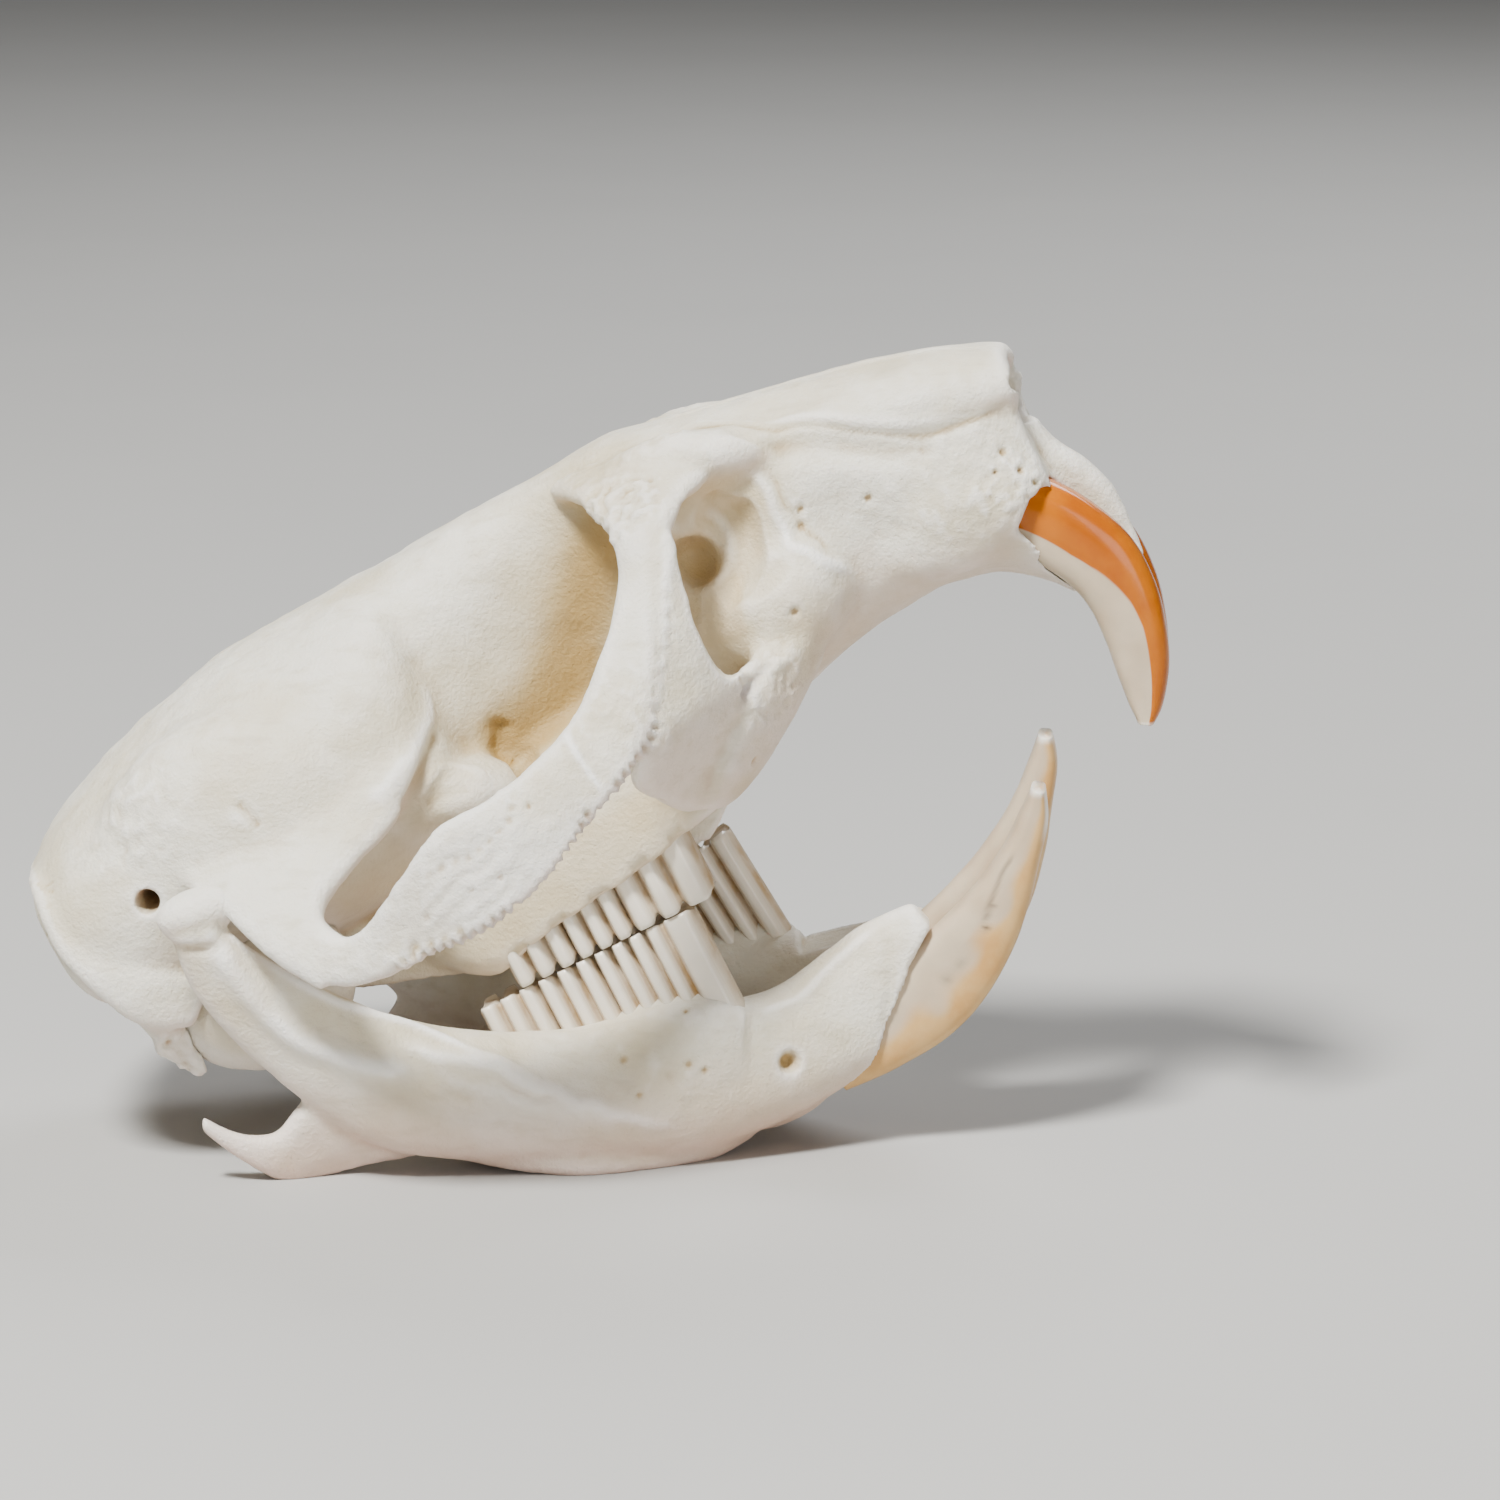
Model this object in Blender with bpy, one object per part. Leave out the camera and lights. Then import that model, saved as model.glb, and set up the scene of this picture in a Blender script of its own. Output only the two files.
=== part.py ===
"""Muskrat skull: braincase, face, nasals, arches, bullae, incisors and both halves of the lower jaw."""
import bpy
import bmesh
from math import atan2, copysign, cos, pi, radians, sin
from mathutils import Matrix, Vector

for old in list(bpy.data.objects):
    bpy.data.objects.remove(old, do_unlink=True)

# Driving sizes in millimetres and degrees.
# The skull's own frame: x from the occiput to the nose, z up from the ear line.
MM = 0.001
PITCH = 27.0
SKULL_AT = (-32.0, 0.0, 11.3)
JAW_DROP = 0.7
LEFT_PITCH = 4.5
LEFT_PIVOT = (-17.0, 0.0)
LEFT_FORWARD = 3.0
LEFT_OUT = 0.3
LEFT_SLIDE = (-0.9, -0.8)
HOOK = 0.8
GAP = 0.3
BITE = -13.45
GRAIN = 0.42
FOOT = 0.0
CENTRE = (0.5, 0.0)


# Small helpers
def new_object(name, verts, faces):
    """A mesh object from points and faces, its faces turned outwards."""
    mesh = bpy.data.meshes.new(name)
    mesh.from_pydata([tuple(v) for v in verts], [], faces)
    mesh.update()
    thing = bpy.data.objects.new(name, mesh)
    bpy.context.scene.collection.objects.link(thing)
    bm = bmesh.new()
    bm.from_mesh(mesh)
    bmesh.ops.recalc_face_normals(bm, faces=bm.faces)
    bm.to_mesh(mesh)
    bm.free()
    return thing


def spread(rows, steps):
    """Rows of sizes with smooth in-between rows added."""
    out = []
    last = len(rows) - 1
    for i in range(last):
        a, b, c, d = rows[max(i - 1, 0)], rows[i], rows[i + 1], rows[min(i + 2, last)]
        for k in range(steps):
            u = k / steps
            row = []
            for p, q, r, s in zip(a, b, c, d):
                bend = 2 * p - 5 * q + 4 * r - s + u * (3 * (q - r) + s - p)
                row.append(q + 0.5 * u * (r - p + u * bend))
            out.append(row)
    out.append(list(rows[last]))
    return out


def skin(name, rings):
    """A closed body through a row of rings of equally many points."""
    count = len(rings[0])
    verts = [p for ring in rings for p in ring]
    faces = []
    for i in range(len(rings) - 1):
        for k in range(count):
            m = (k + 1) % count
            faces.append((i * count + k, i * count + m, (i + 1) * count + m, (i + 1) * count + k))
    for end, start in ((0, 0), (1, (len(rings) - 1) * count)):
        middle = sum((Vector(rings[-1 if end else 0][k]) for k in range(count)), Vector()) / count
        verts.append(middle)
        hub = len(verts) - 1
        for k in range(count):
            faces.append((hub, start + k, start + (k + 1) % count))
    return new_object(name, verts, faces)


def curve_point(angle, power):
    """A point of a rounded square of half-width 1."""
    c, s = cos(angle), sin(angle)
    return copysign(abs(c) ** (2 / power), c), copysign(abs(s) ** (2 / power), s)


def hull(name, rows, power_up=2.3, power_low=2.3, count=36, steps=3):
    """A body along x; each row is x, half width, top, widest level, bottom."""
    rings = []
    for x, wide, top, level, low in spread(rows, steps):
        ring = []
        for k in range(count):
            angle = 2 * pi * k / count
            power = power_up if sin(angle) >= 0 else power_low
            c, s = curve_point(angle, power)
            ring.append(Vector((x, wide * c, level + s * (top - level if s > 0 else level - low))))
        rings.append(ring)
    return skin(name, rings)


def limb(name, rows, power=2.2, count=20, steps=4):
    """A bent bar; each row is x, y, z, half height, half thickness."""
    rows = spread(rows, steps)
    rings = []
    for i, (x, y, z, high, thick) in enumerate(rows):
        here = Vector((x, y, z))
        ahead = Vector(rows[min(i + 1, len(rows) - 1)][:3]) - Vector(rows[max(i - 1, 0)][:3])
        ahead.normalize()
        side = Vector((0, 1, 0))
        side = (side - ahead * side.dot(ahead)).normalized()
        upper = ahead.cross(side)
        ring = []
        for k in range(count):
            c, s = curve_point(2 * pi * k / count, power)
            ring.append(here + side * (thick * c) + upper * (high * s))
        rings.append(ring)
    return skin(name, rings)


def strap(name, rows, power=2.6, count=20, steps=4):
    """A bent plate; each row is one edge point, the other edge point and the thickness."""
    rows = spread(rows, steps)
    middles = [(Vector(r[0:3]) + Vector(r[3:6])) / 2 for r in rows]
    rings = []
    for i, r in enumerate(rows):
        across = (Vector(r[0:3]) - Vector(r[3:6])) / 2
        ahead = middles[min(i + 1, len(rows) - 1)] - middles[max(i - 1, 0)]
        out = ahead.cross(across).normalized()
        ring = []
        for k in range(count):
            c, s = curve_point(2 * pi * k / count, power)
            ring.append(middles[i] + across * c + out * (r[6] / 2 * s))
        rings.append(ring)
    return skin(name, rings)


def ball(name, at, radii, turn=(0, 0, 0), rings=16, count=28):
    """An ellipsoid, turned by angles in degrees about x, y and z."""
    bm = bmesh.new()
    bmesh.ops.create_uvsphere(bm, u_segments=count, v_segments=rings, radius=1.0)
    spin = Matrix.Rotation(radians(turn[2]), 4, "Z") @ Matrix.Rotation(radians(turn[1]), 4, "Y")
    spin = spin @ Matrix.Rotation(radians(turn[0]), 4, "X")
    bm.transform(Matrix.Translation(at) @ spin @ Matrix.Diagonal((*radii, 1.0)))
    mesh = bpy.data.meshes.new(name)
    bm.to_mesh(mesh)
    bm.free()
    thing = bpy.data.objects.new(name, mesh)
    bpy.context.scene.collection.objects.link(thing)
    return thing


def block(name, low, high):
    """A box between two corners."""
    xs, ys, zs = zip(low, high)
    verts = [(x, y, z) for x in xs for y in ys for z in zs]
    faces = [(0, 1, 3, 2), (4, 6, 7, 5), (0, 4, 5, 1), (2, 3, 7, 6), (0, 2, 6, 4), (1, 5, 7, 3)]
    return new_object(name, verts, faces)


def slab(name, outline, y_low, y_high):
    """A plate with an outline in x and z."""
    n = len(outline)
    verts = [(x, y_low, z) for x, z in outline] + [(x, y_high, z) for x, z in outline]
    faces = [tuple(range(n)), tuple(range(2 * n - 1, n - 1, -1))]
    faces += [(k, (k + 1) % n, n + (k + 1) % n, n + k) for k in range(n)]
    return new_object(name, verts, faces)


def bake(thing):
    """The object's modifiers made part of its mesh."""
    graph = bpy.context.evaluated_depsgraph_get()
    graph.update()
    mesh = bpy.data.meshes.new_from_object(thing.evaluated_get(graph))
    thing.modifiers.clear()
    thing.data = mesh
    return thing


def drop(thing):
    bpy.data.objects.remove(thing, do_unlink=True)


def combine(thing, other, how, solver="EXACT", keep=False):
    """Boolean of one object with another, or with a list of others in one go."""
    others = other if isinstance(other, (list, tuple)) else [other]
    step = thing.modifiers.new(how.lower(), "BOOLEAN")
    step.operation = how
    step.solver = solver
    group = None
    if len(others) == 1:
        step.object = others[0]
    else:
        group = bpy.data.collections.new("joined")
        bpy.context.scene.collection.children.link(group)
        for piece in others:
            group.objects.link(piece)
        step.operand_type = "COLLECTION"
        step.collection = group
    bake(thing)
    if group is not None:
        for piece in others:
            group.objects.unlink(piece)
        bpy.data.collections.remove(group)
    if not keep:
        for piece in others:
            drop(piece)
    return thing


def largest(thing):
    """Only the largest closed surface of the object is kept."""
    bm = bmesh.new()
    bm.from_mesh(thing.data)
    left = set(bm.verts)
    groups = []
    while left:
        todo = [left.pop()]
        group = list(todo)
        while todo:
            for edge in todo.pop().link_edges:
                for v in edge.verts:
                    if v in left:
                        left.discard(v)
                        todo.append(v)
                        group.append(v)
        groups.append(group)
    groups.sort(key=len, reverse=True)
    for group in groups[1:]:
        bmesh.ops.delete(bm, geom=group, context="VERTS")
    bm.to_mesh(thing.data)
    bm.free()
    return thing


def refine(thing, grain, smooth, target):
    """One even skin over the joined shapes, smoothed and thinned to a number of triangles."""
    step = thing.modifiers.new("skin", "REMESH")
    step.mode = "VOXEL"
    step.voxel_size = grain
    if smooth:
        step = thing.modifiers.new("soften", "SMOOTH")
        step.factor = 0.5
        step.iterations = smooth
    bake(thing)
    largest(thing)
    faces = sum(len(p.vertices) - 2 for p in thing.data.polygons)
    if faces > target:
        step = thing.modifiers.new("thin", "DECIMATE")
        step.ratio = target / faces
        step.use_collapse_triangulate = True
        bake(thing)
        largest(thing)
    return thing


def mirrored(thing, name):
    """A copy of the object on the other side of the middle plane."""
    mesh = thing.data.copy()
    mesh.transform(Matrix.Diagonal((1, -1, 1, 1)))
    mesh.flip_normals()
    twin = bpy.data.objects.new(name, mesh)
    bpy.context.scene.collection.objects.link(twin)
    return twin


def moved(thing, matrix):
    thing.data.transform(matrix)
    thing.data.update()
    return thing


# Placing
SKULL_POSE = Matrix.Translation(SKULL_AT) @ Matrix.Rotation(radians(-PITCH), 4, "Y")
PIVOT = Vector((LEFT_PIVOT[0], 0, LEFT_PIVOT[1]))
JAW_POSE = Matrix.Translation((0, 0, -JAW_DROP))
LEFT_POSE = Matrix.Translation(PIVOT + Vector((LEFT_FORWARD, LEFT_OUT, 0)))
LEFT_POSE = LEFT_POSE @ Matrix.Rotation(radians(-LEFT_PITCH), 4, "Y") @ Matrix.Translation(-PIVOT) @ JAW_POSE


# Cheek teeth: each one a pleated prism
def pleats(start, end, outer, inner, folds):
    """A tooth's outline from above: outer corners and inner corners with folds between them."""
    pitch = (end - start) / folds
    near, far = [], []
    for k in range(folds):
        x = start + pitch * (k + 0.5)
        near += [(x - 0.30 * pitch, outer), (x + 0.30 * pitch, outer), (x + 0.5 * pitch, outer + 0.9)]
        far += [(x - 0.30 * pitch, inner), (x + 0.30 * pitch, inner), (x + 0.5 * pitch, inner - 0.9)]
    near.pop()
    far.pop()
    return near + far[::-1]


def molar(name, start, end, outer, inner, folds, z_low, z_high):
    """One cheek tooth between two levels; each level is given at its rear and front end."""
    outline = pleats(start, end, outer, inner, folds)
    n = len(outline)
    verts = []
    for rear, front in (z_low, z_high):
        for x, y in outline:
            u = (x - start) / (end - start)
            verts.append((x, y, rear + (front - rear) * u))
    faces = [tuple(range(n)), tuple(range(2 * n - 1, n - 1, -1))]
    faces += [(k, (k + 1) % n, n + (k + 1) % n, n + k) for k in range(n)]
    return new_object(name, verts, faces)


# Rear end, front end and number of outer corners of each cheek tooth, along the bite line.
UPPER_TEETH = ((22.6, 27.2, 3), (27.1, 31.3, 3), (31.2, 36.9, 3))
LOWER_TEETH = ((21.0, 24.9, 3), (24.8, 28.6, 3), (28.5, 35.2, 5))
UPPER_OUTER, UPPER_INNER = -6.7, -3.3
LOWER_OUTER, LOWER_INNER = -6.5, -3.5


def left_lift(x):
    """How far the raised left half lifts the bite at a place along the tooth row."""
    return max(0.0, 0.9 + sin(radians(LEFT_PITCH)) * (x - 37.2))


# Cranium
def cranium():
    parts = []
    add = parts.append
    add(hull("vault", (
        (0.6, 7.0, 4.6, 1.0, -2.0), (1.4, 9.6, 6.0, 0.6, -3.8), (3.2, 11.2, 7.4, 0.3, -5.0),
        (6.6, 11.9, 8.8, 0.6, -6.0), (11.0, 12.0, 10.1, 1.0, -6.2), (16.0, 11.8, 11.2, 1.8, -6.2),
        (21.0, 11.0, 11.6, 2.6, -6.0), (25.0, 9.8, 11.8, 3.6, -5.6), (28.3, 7.6, 11.9, 4.6, -5.0),
        (30.6, 4.5, 11.6, 5.0, -3.4)), 2.2, 2.5))
    add(hull("brow", (
        (24.0, 6.5, 11.6, 5.0, -4.6), (29.0, 5.4, 12.0, 6.0, -4.4), (33.0, 3.9, 12.3, 7.0, -4.6),
        (36.5, 3.2, 12.4, 8.0, -5.0), (39.5, 3.9, 12.6, 9.0, -5.6), (42.5, 5.2, 12.7, 9.0, -6.4),
        (46.0, 5.4, 12.1, 6.0, -5.8)), 2.6, 2.2))
    add(hull("snout", (
        (40.0, 4.6, 12.1, 4.0, -7.6), (43.0, 5.2, 12.5, 4.0, -6.8), (46.5, 5.6, 12.0, 4.0, -5.7),
        (50.5, 5.9, 11.2, 3.6, -4.5), (54.0, 5.9, 10.6, 3.0, -4.0), (57.5, 5.7, 10.0, 2.6, -4.0),
        (60.5, 5.4, 9.2, 2.0, -4.9), (63.0, 4.9, 8.3, 1.0, -7.0), (64.6, 4.0, 7.4, 0.0, -7.2)), 2.5, 2.3))
    add(hull("palate", (
        (21.0, 3.9, 0.0, -7.0, -9.6), (24.0, 6.6, 0.0, -9.0, -12.0), (28.0, 7.0, 0.0, -8.6, -11.2),
        (32.0, 7.2, 0.0, -8.2, -10.8), (36.0, 7.3, 0.0, -7.6, -10.0), (38.4, 6.4, 0.0, -6.8, -9.2),
        (41.5, 5.0, 0.0, -5.0, -7.6)), 2.2, 4.0))
    add(hull("nose_roof", (
        (52.0, 5.2, 10.4, 7.4, 5.4), (56.0, 5.4, 10.0, 7.0, 5.0), (60.5, 5.2, 9.1, 6.4, 4.6),
        (63.4, 4.9, 8.1, 5.6, 4.0), (65.6, 4.4, 7.2, 5.0, 4.0)), 2.5, 2.5))
    add(strap("septum", (
        (64.6, 0.0, 3.6, 61.0, 0.0, 2.0, 1.0), (66.2, 0.0, -0.6, 62.6, 0.0, -2.0, 1.0),
        (67.2, 0.0, -3.8, 64.4, 0.0, -4.6, 1.0), (67.5, 0.0, -7.2, 65.4, 0.0, -7.4, 0.9)), 3.0))
    add(ball("condyle_r", (3.2, -3.6, -3.4), (2.3, 1.5, 2.1), (20, 0, 20)))
    add(ball("condyle_l", (3.2, 3.6, -3.4), (2.3, 1.5, 2.1), (-20, 0, -20)))
    add(hull("base", (
        (2.5, 5.0, 0.0, -3.0, -6.6), (8.0, 4.6, 0.0, -4.0, -7.2), (16.0, 3.6, 0.0, -5.0, -7.6),
        (23.0, 3.2, 0.0, -6.0, -8.6)), 2.4, 2.8))
    for side in (-1, 1):
        tag = "_r" if side < 0 else "_l"
        add(strap("crest" + tag, (
            (0.6, side * 0.5, 5.2, 1.9, side * 0.5, 2.4, 1.3),
            (1.3, side * 5.0, 5.6, 2.6, side * 5.2, 2.2, 1.3),
            (2.2, side * 9.0, 4.8, 3.8, side * 8.4, 1.4, 1.4),
            (2.6, side * 11.2, 1.6, 5.0, side * 9.8, -0.4, 1.6),
            (3.9, side * 11.8, -1.8, 6.8, side * 10.6, -2.4, 1.8),
            (5.6, side * 11.0, -4.6, 8.4, side * 10.4, -3.4, 1.8))))
        add(limb("paroccipital" + tag, (
            (5.4, side * 10.2, -3.2, 1.8, 1.6), (5.0, side * 9.2, -5.8, 1.3, 1.3),
            (5.0, side * 8.6, -8.0, 0.9, 0.9), (5.4, side * 8.4, -9.6, 0.5, 0.5))))
        add(strap("temple" + tag, (
            (9.6, side * 10.6, 2.8, 15.2, side * 10.8, 4.8, 2.0),
            (11.4, side * 12.8, 1.8, 16.4, side * 12.8, 2.4, 1.9),
            (12.9, side * 14.8, 0.2, 17.2, side * 14.6, -1.2, 1.8),
            (14.9, side * 16.8, -3.4, 18.0, side * 16.2, -3.4, 1.7),
            (16.7, side * 18.0, -6.6, 19.4, side * 17.6, -4.6, 1.6))))
        add(strap("arch" + tag, (
            (15.6, side * 17.4, -5.6, 17.4, side * 16.8, -3.4, 1.5),
            (18.4, side * 18.6, -7.1, 19.6, side * 18.1, -4.3, 1.4),
            (22.8, side * 19.5, -7.2, 23.2, side * 18.9, -2.5, 1.4),
            (27.0, side * 19.8, -7.1, 26.8, side * 19.1, -0.7, 1.4),
            (30.8, side * 19.3, -6.4, 30.0, side * 18.6, -0.6, 1.5),
            (35.0, side * 17.6, -4.7, 33.6, side * 17.2, 0.0, 1.7),
            (39.6, side * 15.6, -3.4, 36.6, side * 15.2, 1.5, 1.9),
            (43.2, side * 13.4, 0.4, 39.5, side * 12.9, 4.0, 2.0),
            (44.4, side * 11.8, 4.4, 41.3, side * 10.6, 6.6, 2.1),
            (46.2, side * 9.0, 7.8, 41.0, side * 8.9, 9.2, 2.2),
            (47.6, side * 6.2, 9.4, 40.4, side * 6.6, 11.0, 2.6),
            (47.6, side * 3.2, 10.2, 40.6, side * 3.6, 11.6, 2.6)), steps=5))
        add(strap("plate" + tag, (
            (43.9, side * 11.8, 2.6, 39.6, side * 14.0, 2.0, 1.6),
            (44.3, side * 10.4, -0.6, 37.6, side * 14.6, -1.4, 1.8),
            (45.0, side * 7.6, -2.2, 36.6, side * 13.2, -3.8, 2.2),
            (43.6, side * 6.2, -4.2, 36.2, side * 11.2, -6.0, 3.0),
            (40.8, side * 5.8, -7.0, 36.2, side * 8.8, -8.6, 3.4))))
        add(strap("wing" + tag, (
            (13.0, side * 4.4, -5.0, 13.2, side * 4.2, -9.0, 1.1),
            (17.0, side * 3.9, -5.0, 17.6, side * 3.7, -11.0, 1.0),
            (21.0, side * 3.6, -5.0, 21.6, side * 3.4, -12.6, 1.1))))
        add(ball("socket_swelling" + tag, (58.2, side * 4.0, 0.4), (6.5, 1.9, 3.6), (0, 6, 0)))
    base = parts.pop(0)
    combine(base, parts, "UNION")
    base.name = "cranium"
    # Openings: spinal hole, nose, slits of the palate, hollow beside the muzzle, roof of the palate.
    cuts = [
        ball("spinal_hole", (0.2, 0, -1.6), (5.5, 3.1, 2.6), (0, 12, 0)),
        ball("nose_hole", (65.8, 0, 3.6), (7.5, 3.5, 2.6), (0, 14, 0)),
        hull("palate_roof", ((19.0, 2.4, -8.2, -14.0, -18.0), (37.0, 2.5, -8.8, -14.0, -18.0),
                             (39.5, 1.6, -9.2, -14.0, -18.0)), 3.0, 2.0),
        ball("slit_r", (48.5, -1.0, -5.6), (5.0, 0.6, 1.3), (0, 14, 0)),
        ball("slit_l", (48.5, 1.0, -5.6), (5.0, 0.6, 1.3), (0, 14, 0)),
    ]
    for side in (-1, 1):
        tag = "_r" if side < 0 else "_l"
        cuts.append(ball("muzzle_hollow" + tag, (45.6, side * 7.6, 4.2), (4.2, 3.0, 4.3), (0, 12, 0)))
        cuts.append(limb("muzzle_way" + tag, (
            (50.0, side * 9.0, 5.0, 4.0, 2.2), (46.0, side * 8.4, 4.6, 3.8, 2.3),
            (42.0, side * 7.8, 4.6, 3.0, 2.2),
            (38.0, side * 8.2, 4.6, 3.4, 2.4), (35.0, side * 9.0, 4.6, 3.4, 2.4))))
    combine(base, cuts, "DIFFERENCE")
    return base


def incisor(name, rows, wide):
    """A curved front tooth of the right side; each row is x, inner face, z and half depth."""
    return limb(name, [(x, -y - wide / 2, z, deep, wide / 2) for x, y, z, deep in rows], 3.0, 12, 2)


UPPER_INCISOR = ((59.4, 0.8, 0.4, 2.2), (62.0, 0.8, -1.4, 2.35), (63.9, 0.8, -3.7, 2.3),
                 (65.1, 0.75, -6.2, 2.2), (65.4, 0.6, -8.6, 2.0), (65.1, 0.45, -11.0, 1.8),
                 (64.5, 0.3, -13.2, 1.5), (63.8, 0.2, -15.0, 1.0), (63.3, 0.2, -16.0, 0.5))
LOWER_INCISOR = ((13.2, 0.5, 6.0, 2.3), (16.4, 0.4, 8.0, 2.7), (19.2, 0.3, 10.2, 3.0),
                 (21.4, 0.25, 13.2, 2.7), (23.0, 0.2, 16.0, 2.2), (24.2, 0.2, 18.6, 1.6),
                 (25.0, 0.2, 20.8, 1.1), (25.4, 0.2, 22.4, 0.5))
UPPER_WIDE = 3.2
LOWER_WIDE = 3.1


def tooth_room(name, rows, wide, extra=0.0, start=99):
    """The socket of a front tooth, wider on the outer side from a given row on."""
    out = []
    for number, (x, y, z, deep) in enumerate(rows):
        more = extra if number >= start else 0.0
        half = (wide + more) / 2 + GAP
        out.append((x, -y - (wide + more) / 2, z, deep + GAP, half))
    root, after = out[0], out[1]
    out.insert(0, tuple(p + 0.3 * (p - q) if i in (0, 2) else p for i, (p, q) in enumerate(zip(root, after))))
    return limb(name, out, 3.0, 16, 2)


whole = cranium()
refine(whole, GRAIN, 2, 6800)
whole.name = "cranium"

# The bullae are thin-walled shells below the ears, each beside the base of the skull.
bullae = []
for side in (-1, 1):
    at, radii, turn = (10.6, side * 7.3, -6.6), (5.9, 4.1, 4.6), (0, 0, side * 14)
    cutter = ball("bulla_room", at, [r + GAP for r in radii], turn)
    combine(whole, cutter, "DIFFERENCE")
    name = "bulla_right" if side < 0 else "bulla_left"
    bullae.append(ball(name, at, radii, turn, 11, 18))

# The front teeth sit in sockets a hair wider than the teeth.
upper_right = incisor("upper_incisor_right", UPPER_INCISOR, UPPER_WIDE)
upper_left = mirrored(upper_right, "upper_incisor_left")
room = tooth_room("room", UPPER_INCISOR, UPPER_WIDE, 2.0, 2)
combine(whole, [room, mirrored(room, "room_left")], "DIFFERENCE")
largest(whole)

# Parting the cranium into its named pieces
HALF = GAP / 2
FACE_REAR = (
    (17.5 + HALF, -30), (17.5 + HALF, -10.6), (43.4 + HALF, 13.6), (43.4 + HALF, 30), (90, 30), (90, -30))
CASE_FRONT = (
    (17.5 - HALF, -30), (17.5 - HALF, -10.6), (43.4 - HALF, 13.6), (43.4 - HALF, 30), (-30, 30), (-30, -30))
NOSE_UNDER = ((46.6 + HALF, 30), (46.6 + HALF, 11.2 + HALF), (66.0, 3.1 + HALF), (90, 3.1 + HALF), (90, 30))
NOSE_OVER = ((46.6 - HALF, 30), (46.6 - HALF, 11.2 - HALF), (66.0, 3.1 - HALF), (90, 3.1 - HALF), (90, 30))


def piece(name, regions):
    thing = bpy.data.objects.new(name, whole.data.copy())
    bpy.context.scene.collection.objects.link(thing)
    for region, how in regions:
        combine(thing, region, how)
    return largest(thing)


arches = []
for side in (-1, 1):
    name = "zygomatic_arch_right" if side < 0 else "zygomatic_arch_left"
    y_in, y_out = side * 12.6, side * 26.0
    box = block("arch_room", (17.4 + HALF, min(y_in, y_out), -12), (37.0 - HALF, max(y_in, y_out), 4.2))
    arches.append(piece(name, [(box, "INTERSECT")]))


def arch_rooms():
    rooms = []
    for side in (-1, 1):
        y_in, y_out = side * (12.6 - GAP), side * 26.0
        rooms.append(block(
            "arch_room", (17.4 - HALF, min(y_in, y_out), -12), (37.0 + HALF, max(y_in, y_out), 4.4)))
    return rooms


nasals = piece("nasals", [(slab("nose_region", NOSE_UNDER, -12, 12), "INTERSECT")])
face = piece("face", [(slab("face_region", FACE_REAR, -30, 30), "INTERSECT"), (arch_rooms(), "DIFFERENCE"),
                      (slab("nose_region", NOSE_OVER, -12, 12), "DIFFERENCE")])
case = piece("braincase", [(slab("case_region", CASE_FRONT, -30, 30), "INTERSECT"),
                           (arch_rooms(), "DIFFERENCE")])
drop(whole)

# Upper cheek teeth, their roots sunk into the face.
teeth = []
for side in (-1, 1):
    for number, (rear, front, folds) in enumerate(UPPER_TEETH):
        hook = HOOK if number == 2 else 0.0
        lift = (0.0, 0.0) if side < 0 else (left_lift(rear), left_lift(front) + hook)
        low = (BITE + HALF + lift[0], BITE + HALF + lift[1])
        tooth = molar("molar", rear, front, UPPER_OUTER, UPPER_INNER, folds, low, (-8.0, -7.4))
        if side > 0:
            twin = mirrored(tooth, "molar")
            drop(tooth)
            tooth = twin
        teeth.append(tooth)
combine(face, teeth, "UNION")
largest(face)


# Lower jaw, right half
CONDYLE = ((-22.2, -14.0, 16.9), (2.1, 1.3, 1.8), (0, 20, 0))


def joint_room(name, pose, side):
    """The hollow in the skull that the jaw's head and neck lie in."""
    rows = ((-22.9, -14.0, 19.0), (-22.2, -14.0, 16.4), (-20.8, -13.6, 13.6), (-17.6, -12.9, 10.6))
    room = limb(name, [(x, side * -y, z, 2.6, 1.7) for x, y, z in rows])
    return moved(room, pose)


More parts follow.
